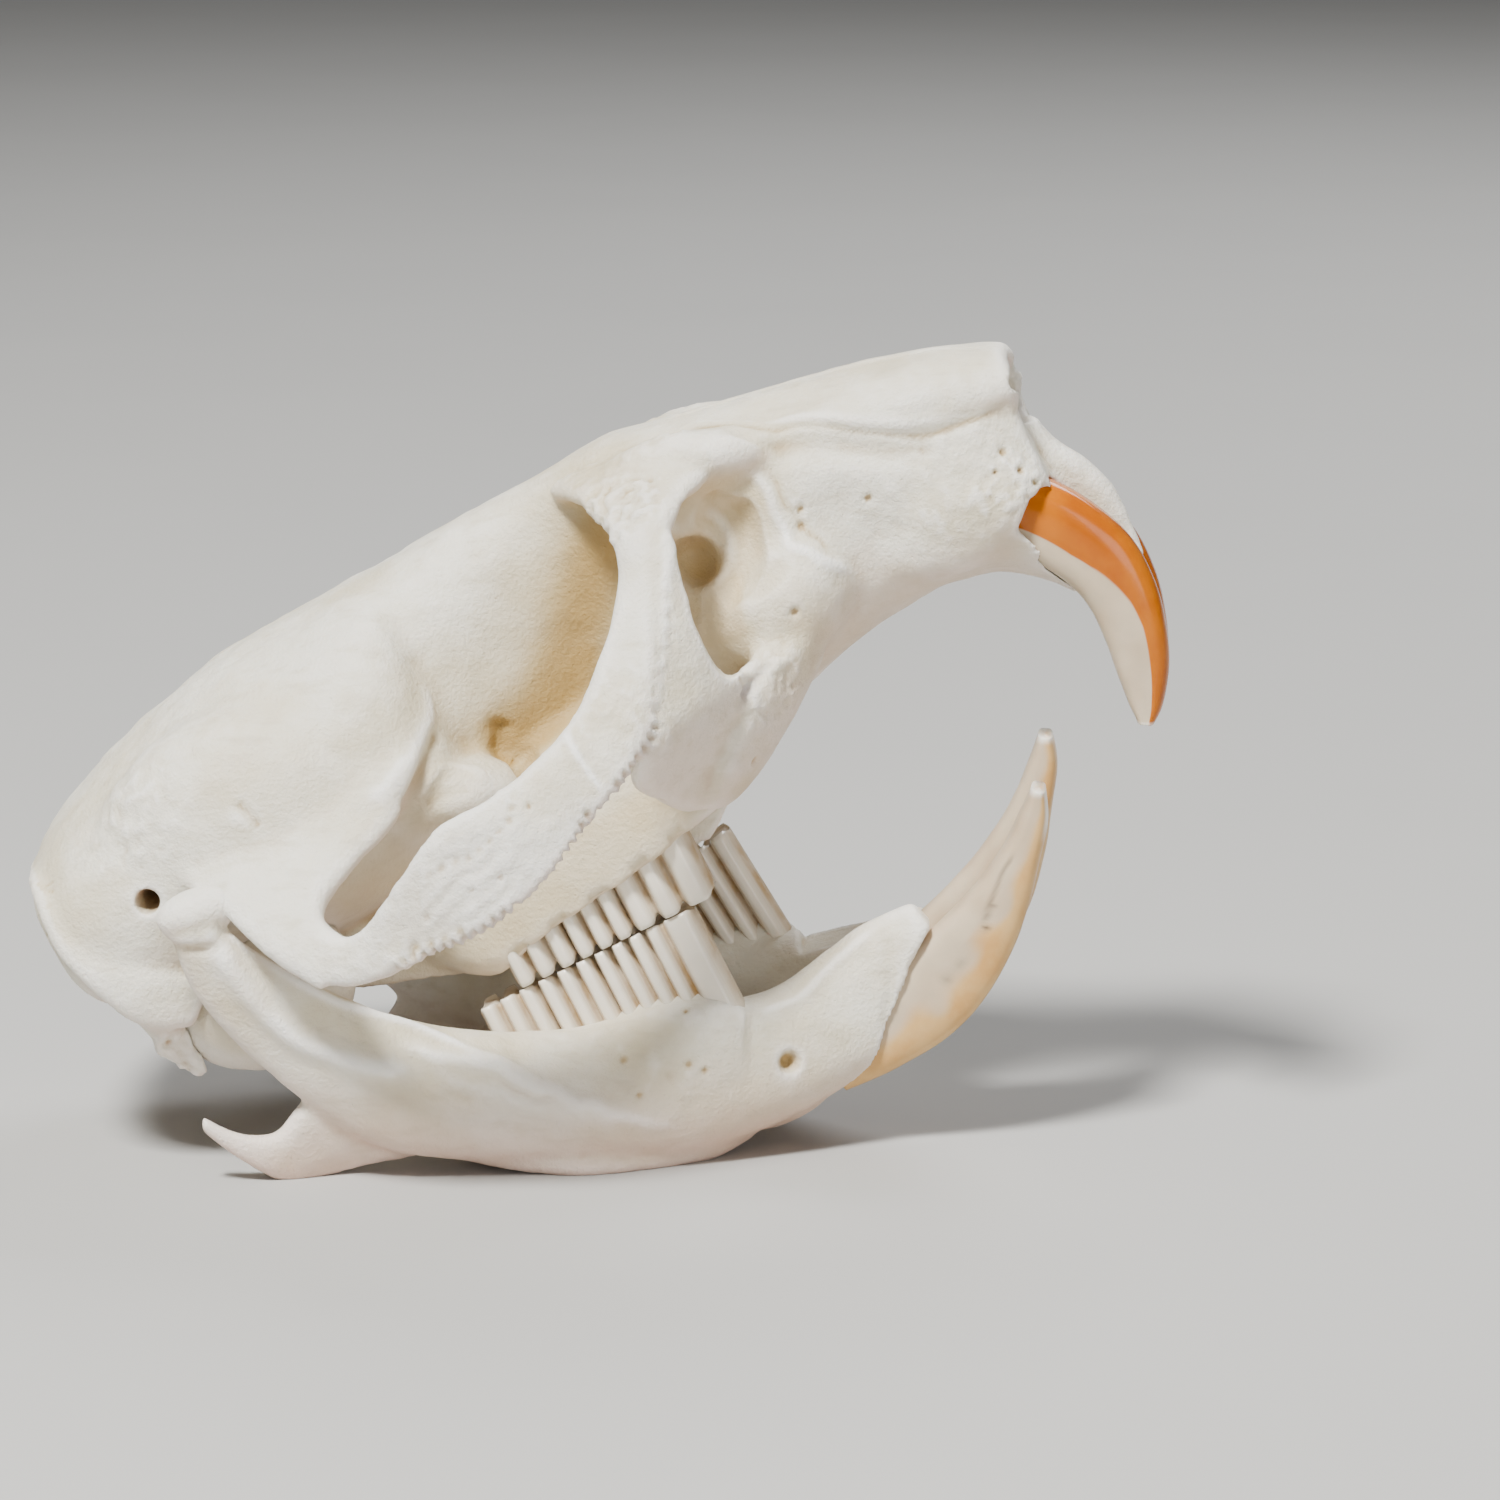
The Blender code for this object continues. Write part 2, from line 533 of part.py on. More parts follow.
def jaw_half():
    parts = []
    add = parts.append
    add(limb("jaw_beam", (
        (-22.4, -14.0, 16.2, 1.4, 1.3), (-21.0, -13.7, 13.8, 2.1, 1.2), (-18.6, -13.1, 11.4, 2.7, 1.2),
        (-15.4, -12.2, 8.9, 3.3, 1.5), (-11.4, -10.9, 6.5, 3.9, 2.0), (-6.4, -9.2, 5.2, 3.8, 2.6),
        (-1.0, -7.6, 4.9, 4.1, 3.1), (4.0, -5.8, 5.3, 4.5, 3.2), (8.2, -4.3, 5.9, 4.0, 3.0),
        (11.8, -3.2, 7.2, 3.6, 2.5), (15.2, -2.5, 9.6, 3.8, 2.2), (17.6, -2.2, 11.2, 4.1, 2.0),
        (19.8, -2.1, 13.0, 3.2, 1.8)), 2.3, 24))
    add(ball("jaw_condyle", *CONDYLE))
    add(strap("jaw_angle", (
        (-9.5, -10.2, 7.6, -9.7, -9.0, 1.8, 2.0), (-13.0, -11.4, 7.6, -13.9, -9.8, 1.0, 1.6),
        (-16.8, -11.8, 5.6, -17.2, -10.6, 0.2, 1.7), (-18.8, -12.0, 3.6, -19.0, -11.4, 0.8, 1.4),
        (-20.8, -12.4, 3.9, -20.8, -12.2, 2.0, 1.1), (-22.8, -12.9, 4.8, -22.6, -12.8, 4.0, 0.7))))
    add(hull("jaw_ridge", (
        (-8.0, 1.3, 6.6, 5.0, 3.4), (-6.4, 2.3, 7.7, 5.0, 3.0), (-2.0, 2.7, 8.1, 5.0, 3.0),
        (2.6, 2.8, 9.9, 5.0, 3.0), (6.6, 2.6, 10.6, 5.0, 3.0), (8.6, 1.8, 9.8, 5.0, 3.0)), 3.4, 2.2))
    moved(parts[-1], Matrix.Translation((0, -5.6, 0)))
    add(limb("jaw_crest", (
        (-8.0, -11.2, 8.6, 0.8, 0.9), (-5.0, -11.0, 8.6, 0.8, 1.0), (-1.5, -10.3, 7.6, 0.9, 1.0),
        (2.0, -9.2, 5.9, 1.0, 1.0), (5.0, -7.6, 4.2, 1.1, 1.0), (6.4, -6.4, 3.2, 1.0, 0.8))))
    add(limb("jaw_keel", (
        (-8.0, -9.4, 2.5, 0.9, 0.8), (-4.0, -9.4, 1.7, 0.9, 0.9), (-0.5, -9.0, 1.2, 0.8, 1.0),
        (3.0, -7.4, 1.2, 0.8, 1.1), (6.4, -5.2, 1.3, 0.8, 1.2), (8.6, -3.8, 2.2, 0.8, 1.2))))
    add(ball("chin", (9.5, -2.6, 5.4), (5.2, 2.4, 3.6), (0, -24, 0)))
    base = parts.pop(0)
    combine(base, parts, "UNION")
    combine(base, block("middle_plane", (-40, -GAP / 2, -10), (40, 10, 40)), "DIFFERENCE")
    refine(base, GRAIN, 2, 1500)
    return base


TILT = Matrix.Translation((-32.0, 0, 12.0)) @ Matrix.Rotation(radians(-PITCH), 4, "Y")


def finished_half(bone, hook, slide):
    """The bone with its front tooth's socket and its row of cheek teeth; the front tooth beside it."""
    rows = [(x + slide[0], y, z + slide[1], deep) for x, y, z, deep in LOWER_INCISOR]
    middle = block("middle_plane", (-40, -GAP / 2, -10), (40, 10, 40))
    combine(bone, [middle, tooth_room("jaw_room", rows, LOWER_WIDE, 2.0, 3)], "DIFFERENCE")
    largest(bone)
    teeth_here = []
    for number, (rear, front, folds) in enumerate(LOWER_TEETH):
        top = BITE - HALF
        rise = hook if number == 2 else 0.0
        tooth = molar(
            "molar", rear, front, LOWER_OUTER, LOWER_INNER, folds, (-18.6, -20.4), (top, top + rise))
        teeth_here.append(moved(tooth, TILT))
    combine(bone, teeth_here, "UNION")
    return largest(bone), incisor("lower_incisor_right", rows, LOWER_WIDE)


bare = jaw_half()
bare_twin = bpy.data.objects.new("bare_twin", bare.data.copy())
bpy.context.scene.collection.objects.link(bare_twin)
jaw, lower_right = finished_half(bare, 0.0, (0.0, 0.0))
jaw.name = "mandible_right"
lower_right.name = "lower_incisor_right"
left_bone, left_tooth = finished_half(bare_twin, HOOK, LEFT_SLIDE)
jaw_left = mirrored(left_bone, "mandible_left")
lower_left = mirrored(left_tooth, "lower_incisor_left")
drop(left_bone)
drop(left_tooth)
WORN_EDGE = ((9.0, 9.0), (13.5, 10.2), (20.6, 12.6), (26.0, 12.6), (26.0, 24.0), (9.0, 24.0))
combine(jaw_left, slab("worn_edge", WORN_EDGE,
                       0.0, 9.0), "DIFFERENCE")
largest(jaw_left)

# Into the resting pose
for thing in [case, face, nasals, upper_right, upper_left] + arches + bullae:
    moved(thing, SKULL_POSE)
for thing in (jaw, lower_right):
    moved(thing, JAW_POSE)
for thing in (jaw_left, lower_left):
    moved(thing, LEFT_POSE)
combine(case, [joint_room("joint_right", JAW_POSE, -1), joint_room("joint_left", LEFT_POSE, 1)], "DIFFERENCE")
largest(case)
for thing in (jaw, jaw_left):
    combine(thing, block("ground", (-60, -60, -20), (60, 60, FOOT)), "DIFFERENCE")
    largest(thing)

# Colours, names and units
BONE = (0.80, 0.75, 0.66, 1.0)
CREAM = (0.74, 0.67, 0.55, 1.0)
ORANGE = (0.80, 0.33, 0.04, 1.0)
AMBER = (0.76, 0.55, 0.26, 1.0)
COLOURS = {"bulla": CREAM, "upper_incisor": ORANGE, "lower_incisor": AMBER}
NODES = [
    case, face, nasals, *arches, *bullae, jaw, jaw_left, upper_right, upper_left, lower_right, lower_left]
for thing in NODES:
    moved(thing, Matrix.Scale(MM, 4) @ Matrix.Translation((CENTRE[0], CENTRE[1], 0.0)))
    colour = next((c for key, c in COLOURS.items() if thing.name.startswith(key)), BONE)
    material = bpy.data.materials.new(thing.name)
    material.use_nodes = True
    shader = material.node_tree.nodes["Principled BSDF"]
    shader.inputs["Base Color"].default_value = colour
    shader.inputs["Roughness"].default_value = 0.4 if "incisor" in thing.name else 0.6
    thing.data.materials.clear()
    thing.data.materials.append(material)
    thing.data.name = thing.name
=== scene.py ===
"""Looks of a muskrat skull: carved bone, ridged cheek teeth, orange front teeth, and its stage."""
from math import copysign, cos, pi, radians, sin

import bmesh
import bpy
import numpy as np
from bpy.props import FloatProperty, FloatVectorProperty, PointerProperty
from mathutils import Matrix, Vector
from mathutils.bvhtree import BVHTree


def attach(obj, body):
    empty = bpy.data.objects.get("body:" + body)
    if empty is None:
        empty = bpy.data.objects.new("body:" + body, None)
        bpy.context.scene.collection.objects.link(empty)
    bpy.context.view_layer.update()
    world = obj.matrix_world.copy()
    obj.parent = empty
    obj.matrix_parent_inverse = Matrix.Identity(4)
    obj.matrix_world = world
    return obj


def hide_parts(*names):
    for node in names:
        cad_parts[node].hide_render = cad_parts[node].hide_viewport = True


bl_info = {
    "name": "Muskrat skull",
    "version": (1, 0, 0),
    "blender": (4, 5, 0),
    "location": "View3D > Sidebar > Skull",
    "description": "Builds a life-size muskrat skull with its teeth and a studio stage",
    "category": "Add Mesh",
}

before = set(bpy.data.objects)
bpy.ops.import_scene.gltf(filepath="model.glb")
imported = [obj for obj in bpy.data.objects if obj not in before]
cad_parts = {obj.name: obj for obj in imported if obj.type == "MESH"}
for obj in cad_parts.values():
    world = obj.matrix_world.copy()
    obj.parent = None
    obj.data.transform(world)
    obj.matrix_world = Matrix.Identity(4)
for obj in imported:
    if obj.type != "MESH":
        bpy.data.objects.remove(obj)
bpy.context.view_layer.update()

# Placing, in millimetres and degrees. The skull's own frame: x from the occiput to the nose, z up.
MM = 0.001
PITCH = 27.0
SKULL_AT = (-31.5, 0.0, 11.3)
JAW_AT = (0.5, 0.0, -0.7)
LEFT_PITCH = 4.5
LEFT_PIVOT = (-17.0, 0.0)
LEFT_FORWARD = 3.0
LEFT_OUT = 0.3
LEFT_SLIDE = (-0.9, -0.8)
HOOK = 0.8
BITE = -13.45
SIDES = (("_right", -1), ("_left", 1))

SCALE = Matrix.Scale(MM, 4)
SKULL_POSE = Matrix.Translation(SKULL_AT) @ Matrix.Rotation(radians(-PITCH), 4, "Y")
JAW_POSE = Matrix.Translation(JAW_AT)
PIVOT = Vector((LEFT_PIVOT[0], 0, LEFT_PIVOT[1]))
LEFT_POSE = Matrix.Translation(PIVOT + Vector((LEFT_FORWARD + JAW_AT[0], LEFT_OUT, 0)))
LEFT_POSE = LEFT_POSE @ Matrix.Rotation(radians(-LEFT_PITCH), 4, "Y") @ Matrix.Translation(-PIVOT)
LEFT_POSE = LEFT_POSE @ Matrix.Translation((0, 0, JAW_AT[2]))
BITE_TILT = Matrix.Translation((-32.0, 0, 12.0)) @ Matrix.Rotation(radians(-PITCH), 4, "Y")


# Shapes: each is a pair of points and faces
def spread(rows, steps):
    """Rows of sizes with in-between rows added along a smooth curve through them."""
    out = []
    last = len(rows) - 1
    for i in range(last):
        a, b, c, d = rows[max(i - 1, 0)], rows[i], rows[i + 1], rows[min(i + 2, last)]
        for k in range(steps):
            u = k / steps
            row = []
            for p, q, r, s in zip(a, b, c, d):
                bend = 2 * p - 5 * q + 4 * r - s + u * (3 * (q - r) + s - p)
                row.append(q + 0.5 * u * (r - p + u * bend))
            out.append(row)
    out.append(list(rows[last]))
    return out


def bands(count, rings):
    """The faces between rings of equally many points, ring after ring."""
    faces = []
    for i in range(rings - 1):
        for k in range(count):
            m = (k + 1) % count
            faces.append((i * count + k, i * count + m, (i + 1) * count + m, (i + 1) * count + k))
    return faces


def skin(rings):
    """A closed body through a row of rings of equally many points."""
    count = len(rings[0])
    points = [tuple(p) for ring in rings for p in ring]
    faces = bands(count, len(rings))
    for ring, start in ((rings[0], 0), (rings[-1], (len(rings) - 1) * count)):
        points.append(tuple(sum((Vector(p) for p in ring), Vector()) / count))
        hub = len(points) - 1
        for k in range(count):
            faces.append((hub, start + k, start + (k + 1) % count))
    return points, faces


def round_point(angle, power):
    """A point of a rounded square of half-width 1."""
    c, s = cos(angle), sin(angle)
    return copysign(abs(c) ** (2 / power), c), copysign(abs(s) ** (2 / power), s)


def hull(rows, power_up=2.3, power_low=2.3, count=48, steps=5, y=0.0):
    """A body along x; each row is x, half width, top, widest level, bottom."""
    rings = []
    for x, wide, top, level, low in spread(rows, steps):
        ring = []
        for k in range(count):
            angle = 2 * pi * k / count
            c, s = round_point(angle, power_up if sin(angle) >= 0 else power_low)
            ring.append(Vector((x, y + wide * c, level + s * (top - level if s > 0 else level - low))))
        rings.append(ring)
    return skin(rings)


def limb(rows, power=2.2, count=24, steps=6):
    """A bent bar; each row is x, y, z, half height, half thickness."""
    rows = spread(rows, steps)
    rings = []
    for i, (x, y, z, high, thick) in enumerate(rows):
        here = Vector((x, y, z))
        ahead = Vector(rows[min(i + 1, len(rows) - 1)][:3]) - Vector(rows[max(i - 1, 0)][:3])
        ahead.normalize()
        side = Vector((0, 1, 0))
        side = (side - ahead * side.dot(ahead)).normalized()
        upper = ahead.cross(side)
        ring = []
        for k in range(count):
            c, s = round_point(2 * pi * k / count, power)
            ring.append(here + side * (thick * c) + upper * (high * s))
        rings.append(ring)
    return skin(rings)


def strap(rows, power=2.6, count=28, steps=6):
    """A bent plate; each row is one edge point, the other edge point and the thickness."""
    rows = spread(rows, steps)
    middles = [(Vector(r[0:3]) + Vector(r[3:6])) / 2 for r in rows]
    rings = []
    for i, r in enumerate(rows):
        across = (Vector(r[0:3]) - Vector(r[3:6])) / 2
        ahead = middles[min(i + 1, len(rows) - 1)] - middles[max(i - 1, 0)]
        out = ahead.cross(across).normalized()
        ring = []
        for k in range(count):
            c, s = round_point(2 * pi * k / count, power)
            ring.append(middles[i] + across * c + out * (r[6] / 2 * s))
        rings.append(ring)
    return skin(rings)


def ball(at, radii, turn=(0, 0, 0), rings=20, count=32):
    """An ellipsoid, turned by angles in degrees about x, y and z."""
    spin = Matrix.Rotation(radians(turn[2]), 4, "Z") @ Matrix.Rotation(radians(turn[1]), 4, "Y")
    spin = Matrix.Translation(at) @ spin @ Matrix.Rotation(radians(turn[0]), 4, "X")
    rows = []
    for i in range(1, rings):
        rise = pi * i / rings
        row = []
        for k in range(count):
            angle = 2 * pi * k / count
            place = Vector((sin(rise) * cos(angle), sin(rise) * sin(angle), cos(rise)))
            row.append(spin @ Vector((place.x * radii[0], place.y * radii[1], place.z * radii[2])))
        rows.append(row)
    return skin(rows)


def block(low, high):
    """A box between two corners."""
    xs, ys, zs = zip(low, high)
    points = [(x, y, z) for x in xs for y in ys for z in zs]
    faces = [(0, 1, 3, 2), (4, 6, 7, 5), (0, 4, 5, 1), (2, 3, 7, 6), (0, 2, 6, 4), (1, 5, 7, 3)]
    return points, faces


def prism(outline, near, far):
    """A plate between two y levels from its outline of x and z."""
    count = len(outline)
    points = [(x, near, z) for x, z in outline] + [(x, far, z) for x, z in outline]
    faces = [tuple(range(count)), tuple(range(2 * count - 1, count - 1, -1))]
    faces += [(k, (k + 1) % count, count + (k + 1) % count, count + k) for k in range(count)]
    return points, faces


def turned(shape, matrix):
    """The shape moved by a matrix."""
    return [tuple(matrix @ Vector(p)) for p in shape[0]], shape[1]


# Objects
SOFTEN_SHARE = 0.5
CUTTER_GRAIN = 0.25


def make_object(name, shapes):
    """One mesh object from a list of shapes, each shape's faces turned outwards."""
    points, faces = [], []
    for shape_points, shape_faces in shapes:
        start = len(points)
        points += shape_points
        faces += [tuple(start + k for k in face) for face in shape_faces]
    mesh = bpy.data.meshes.new(name)
    mesh.from_pydata(points, [], faces)
    thing = bpy.data.objects.new(name, mesh)
    bpy.context.scene.collection.objects.link(thing)
    bm = bmesh.new()
    bm.from_mesh(mesh)
    bmesh.ops.recalc_face_normals(bm, faces=bm.faces)
    bm.to_mesh(mesh)
    bm.free()
    return thing


def bake(thing):
    """The object's modifiers made part of its mesh."""
    graph = bpy.context.evaluated_depsgraph_get()
    graph.update()
    mesh = bpy.data.meshes.new_from_object(thing.evaluated_get(graph))
    old = thing.data
    thing.modifiers.clear()
    thing.data = mesh
    bpy.data.meshes.remove(old)
    return thing


def one_skin(thing, grain, smooth):
    """One even skin of a given grain over everything in the object, then smoothed."""
    step = thing.modifiers.new("skin", "REMESH")
    step.mode = "VOXEL"
    step.voxel_size = grain
    if smooth:
        step = thing.modifiers.new("soften", "SMOOTH")
        step.factor = SOFTEN_SHARE
        step.iterations = smooth
    return bake(thing)


def cut_away(thing, shapes):
    """Hollows cut into the object by a list of shapes."""
    cutter = one_skin(make_object("cutter", shapes), CUTTER_GRAIN, 0)
    step = thing.modifiers.new("cut", "BOOLEAN")
    step.operation = "DIFFERENCE"
    step.solver = "MANIFOLD"
    step.object = cutter
    bake(thing)
    bpy.data.objects.remove(cutter, do_unlink=True)
    return thing


def points_of(mesh):
    """The mesh's points as rows of x, y and z."""
    flat = np.empty(len(mesh.vertices) * 3)
    mesh.vertices.foreach_get("co", flat)
    return flat.reshape(-1, 3)


def edges_of(mesh):
    """The point at the first end of every edge, and the point at the other end."""
    ends = np.empty(len(mesh.edges) * 2, np.int64)
    mesh.edges.foreach_get("vertices", ends)
    return ends[0::2], ends[1::2]


def faces_of(mesh):
    """The mesh's faces as rows of point numbers."""
    return [tuple(face.vertices) for face in mesh.polygons]


def add_layer(mesh, name, values):
    """One value for each point, kept on the mesh for its finish to read."""
    layer = mesh.attributes.new(name, "FLOAT", "POINT")
    layer.data.foreach_set("value", values.astype(np.float32))


def main_body(thing):
    """Only the largest connected surface is kept."""
    mesh = thing.data
    a, b = edges_of(mesh)
    label = np.arange(len(mesh.vertices))
    while True:
        low = np.minimum(label[a], label[b])
        fresh = label.copy()
        np.minimum.at(fresh, a, low)
        np.minimum.at(fresh, b, low)
        fresh = fresh[fresh]
        if np.array_equal(fresh, label):
            break
        label = fresh
    names, sizes = np.unique(label, return_counts=True)
    if len(names) == 1:
        return thing
    keep = names[np.argmax(sizes)]
    bm = bmesh.new()
    bm.from_mesh(mesh)
    bm.verts.ensure_lookup_table()
    loose = [bm.verts[int(i)] for i in np.where(label != keep)[0]]
    bmesh.ops.delete(bm, geom=loose, context="VERTS")
    bm.to_mesh(mesh)
    bm.free()
    return thing


def place(thing, matrix):
    """The mesh moved into the resting pose and from millimetres to metres."""
    thing.data.transform(SCALE @ matrix)
    thing.data.update()
    return thing


def mirrored(shape):
    """The shape on the other side of the middle plane."""
    return [(x, -y, z) for x, y, z in shape[0]], [tuple(reversed(face)) for face in shape[1]]


def shade(thing, *materials):
    """Smooth shading and the object's finishes."""
    thing.data.materials.clear()
    for material in materials:
        thing.data.materials.append(material)
    thing.data.polygons.foreach_set("use_smooth", [True] * len(thing.data.polygons))
    thing.data.update()


NOISE_CELLS = 32
NOISE_START = 1000.0
NOISE_SHIFT = 7.3


def lumps(points, size, seed):
    """Smooth random values from -1 to 1 over space, one lump being about this size."""
    lattice = np.random.RandomState(seed).rand(NOISE_CELLS, NOISE_CELLS, NOISE_CELLS) * 2 - 1
    at = points / size + NOISE_START + seed * NOISE_SHIFT
    cell = np.floor(at).astype(np.int64)
    part = at - cell
    part = part * part * (3 - 2 * part)
    total = np.zeros(len(points))
    for dx in (0, 1):
        for dy in (0, 1):
            for dz in (0, 1):
                corner = np.array((dx, dy, dz))
                weight = np.abs(1 - corner - part).prod(axis=1)
                x, y, z = ((cell + corner) % NOISE_CELLS).T
                total += weight * lattice[x, y, z]
    return total


# Tints kept on each carved surface. Painted light among them: the hollow tint gives painted shade in
# hollows and a painted highlight on ridges; the underside tint gives a painted pinkish shade; the bright
# tint is a painted highlight on bone ridges and chipped wear on teeth; the stain tint is partly real
# staining, partly painted shade in hollows and holes.
TINTS = ("stain", "grey", "pink", "bright", "cavity", "enamel")


class Carving:
    """A surface while it is carved and tinted in code, in millimetres in its own frame."""

    # How many widths or radii a line and a spot reach
    LINE_REACH = 2.5
    SPOT_REACH = 2.2
    # The share of a line over which its ends fade, and how deep the very end still is
    END_SHARE = 0.12
    END_DEPTH = 0.25
    # Where patches and crusts end, in radii, and over how much of a radius they fade
    PATCH_EDGE = 1.35
    PATCH_FADE = 0.6
    CRUST_EDGE = 1.3
    CRUST_FADE = 0.5
    # How strongly small and large hollows count towards the painted hollow shade, and how many rounds of
    # averaging find them
    SMALL_HOLLOW = 5.0
    LARGE_HOLLOW = 1.5
    SMALL_ROUNDS = 4
    LARGE_ROUNDS = 36

    def __init__(self, thing, both_sides=False):
        self.thing = thing
        self.mesh = thing.data
        self.both = both_sides
        self.points = points_of(self.mesh)
        count = len(self.points)
        self.tints = {name: np.zeros(count) for name in TINTS}
        self.a, self.b = edges_of(self.mesh)
        ties = np.bincount(self.a, minlength=count) + np.bincount(self.b, minlength=count)
        self.ties = np.maximum(ties, 1)
        self.renew()
        self.tree = BVHTree.FromPolygons([Vector(p) for p in self.points], faces_of(self.mesh))

    def renew(self):
        """The points written to the mesh and the outward directions read again."""
        self.mesh.vertices.foreach_set("co", self.points.ravel())
        self.mesh.update()
        flat = np.empty(len(self.points) * 3)
        self.mesh.vertex_normals.foreach_get("vector", flat)
        self.out = flat.reshape(-1, 3)

    def mean(self, values):
        """Each point's value averaged over its neighbours."""
        count = len(self.points)
        if values.ndim == 1:
            total = np.bincount(self.a, values[self.b], count)
            total = total + np.bincount(self.b, values[self.a], count)
            return total / self.ties
        return np.stack([self.mean(values[:, k]) for k in range(values.shape[1])], axis=1)

    def on_surface(self, line, flip):
        """The line's points moved to the nearest place of the surface."""
        found = []
        for x, y, z in line:
            spot = self.tree.find_nearest(Vector((x, y * flip, z)))[0]
            found.append(tuple(spot) if spot is not None else (x, y * flip, z))
        return np.array(found)

    def flips(self, one_side):
        """The signs of y on which a mark is made."""
        return (1,) if one_side or not self.both else (1, -1)

    def near(self, low, high, margin):
        """Numbers of the points in a box with a margin."""
        inside = np.all((self.points > low - margin) & (self.points < high + margin), axis=1)
        return np.where(inside)[0]

    def away(self, chosen, line):
        """Distance of chosen points from a line, and how far along it the nearest place is."""
        here = self.points[chosen]
        best = np.full(len(chosen), 1e9)
        along = np.zeros(len(chosen))
        run = 0.0
        for p, q in zip(line[:-1], line[1:]):
            step = q - p
            size = max(np.linalg.norm(step), 1e-9)
            u = np.clip((here - p) @ step / size ** 2, 0, 1)
            gap = np.linalg.norm(here - p - u[:, None] * step, axis=1)
            closer = gap < best
            best[closer] = gap[closer]
            along[closer] = run + u[closer] * size
            run += size
        return best, along, run

    def paint(self, tint, chosen, weight):
        """A tint made at least this strong on chosen points."""
        self.tints[tint][chosen] = np.maximum(self.tints[tint][chosen], weight)

    def line(self, points, width, depth, one_side=False, tint=None, amount=0.5, beads=0.0, fade=True,
             wander=0.0):
        """A groove along a line, or a ridge if the depth is negative; beads make it a row of pits."""
        points = spread(points, 6)
        for flip in self.flips(one_side):
            line = self.on_surface(points, flip)
            if wander:
                line = line + wander * np.stack([lumps(line, 1.1, 31 + k) for k in range(3)], axis=1)
                line = self.on_surface(line, 1)
            chosen = self.near(line.min(0), line.max(0), width * self.LINE_REACH)
            if not len(chosen):
                continue
            gap, along, run = self.away(chosen, line)
            weight = np.exp(-(gap / width) ** 2)
            if beads:
                wave = np.cos(2 * pi * along / beads + 2 * lumps(self.points[chosen], 2, 5))
                weight = weight * (0.5 + 0.5 * wave)
            if fade:
                to_end = np.minimum(along, run - along) / (self.END_SHARE * run + 1e-6)
                weight = weight * np.clip(to_end + self.END_DEPTH, 0, 1)
            self.points[chosen] -= self.out[chosen] * (depth * weight)[:, None]
            if tint:
                self.paint(tint, chosen, amount * weight)

    def spot(self, at, radius, depth, one_side=False, tint=None, amount=0.8, power=2.0):
        """A pit, or a bump if the depth is negative."""
        for flip in self.flips(one_side):
            middle = self.on_surface([at], flip)[0]
            chosen = self.near(middle, middle, radius * self.SPOT_REACH)
            if not len(chosen):
                continue
            gap = np.linalg.norm(self.points[chosen] - middle, axis=1)
            weight = np.exp(-(gap / radius) ** power)
            ahead = self.out[chosen].mean(0)
            self.points[chosen] -= (ahead * depth) * weight[:, None]
            if tint:
                self.paint(tint, chosen, amount * weight)

    def radii_away(self, at, radii, flip):
        """How far every point is from the middle of an ellipsoid, in its radii."""
        gap = (self.points - np.array([at[0], at[1] * flip, at[2]])) / np.array(radii)
        return np.sqrt((gap ** 2).sum(1))

    def patch(self, name, at, radii, amount, one_side=False, rough=0.3):
        """A soft tinted patch in an ellipsoid."""
        for flip in self.flips(one_side):
            away = self.radii_away(at, radii, flip) + rough * lumps(self.points, 2.5, 71)
            weight = np.clip(self.PATCH_EDGE - away, 0, self.PATCH_FADE) / self.PATCH_FADE
            self.tints[name] = np.maximum(self.tints[name], amount * weight * weight * (3 - 2 * weight))

    def rough(self, at, radii, size, height, seed, one_side=False):
        """Crusty bone: small lumps within an ellipsoid."""
        for flip in self.flips(one_side):
            away = self.radii_away(at, radii, flip)
            weight = np.clip(self.CRUST_EDGE - away, 0, self.CRUST_FADE) / self.CRUST_FADE
            chosen = np.where(weight > 0)[0]
            if not len(chosen):
                continue
            here = self.points[chosen]
            wave = lumps(here, size, seed) + 0.6 * lumps(here, size * 0.5, seed + 1)
            self.points[chosen] += self.out[chosen] * (height * wave * weight[chosen])[:, None]

    def grain(self, size, height, seed):
        """Gentle unevenness all over."""
        self.points += self.out * (height * lumps(self.points, size, seed))[:, None]

    def shade_hollows(self):
        """How deep each point lies in a hollow or stands out on a ridge, kept as a tint for painted shade
        in hollows and painted highlight on ridges.
        """
        self.renew()
        fine = self.points.copy()
        for _ in range(self.SMALL_ROUNDS):
            fine = self.mean(fine)
        coarse = fine.copy()
        for _ in range(self.LARGE_ROUNDS):
            coarse = self.mean(coarse)
        small = ((fine - self.points) * self.out).sum(1)
        large = ((coarse - self.points) * self.out).sum(1)
        self.tints["cavity"] = np.clip(small * self.SMALL_HOLLOW + large * self.LARGE_HOLLOW, -1, 1)

    def finish(self):
        """The carved points and the tints written to the mesh."""
        self.renew()
        for name, values in self.tints.items():
            add_layer(self.mesh, name, values)


# Finishes: the colours that aren't in the settings
# Painted shade deep in hollows, and a painted highlight where the surface stands out
DEEP_HOLLOW_SHADE = (0.26, 0.16, 0.08)
CONVEX_HIGHLIGHT = (0.93, 0.90, 0.84)
BONE_GREY = (0.66, 0.65, 0.64)
# Painted highlight on raised bone ridges
RIDGE_HIGHLIGHT = (0.95, 0.94, 0.90)
# Painted pinkish shade on undersides
UNDERSIDE_SHADE_PINK = (0.66, 0.38, 0.29)
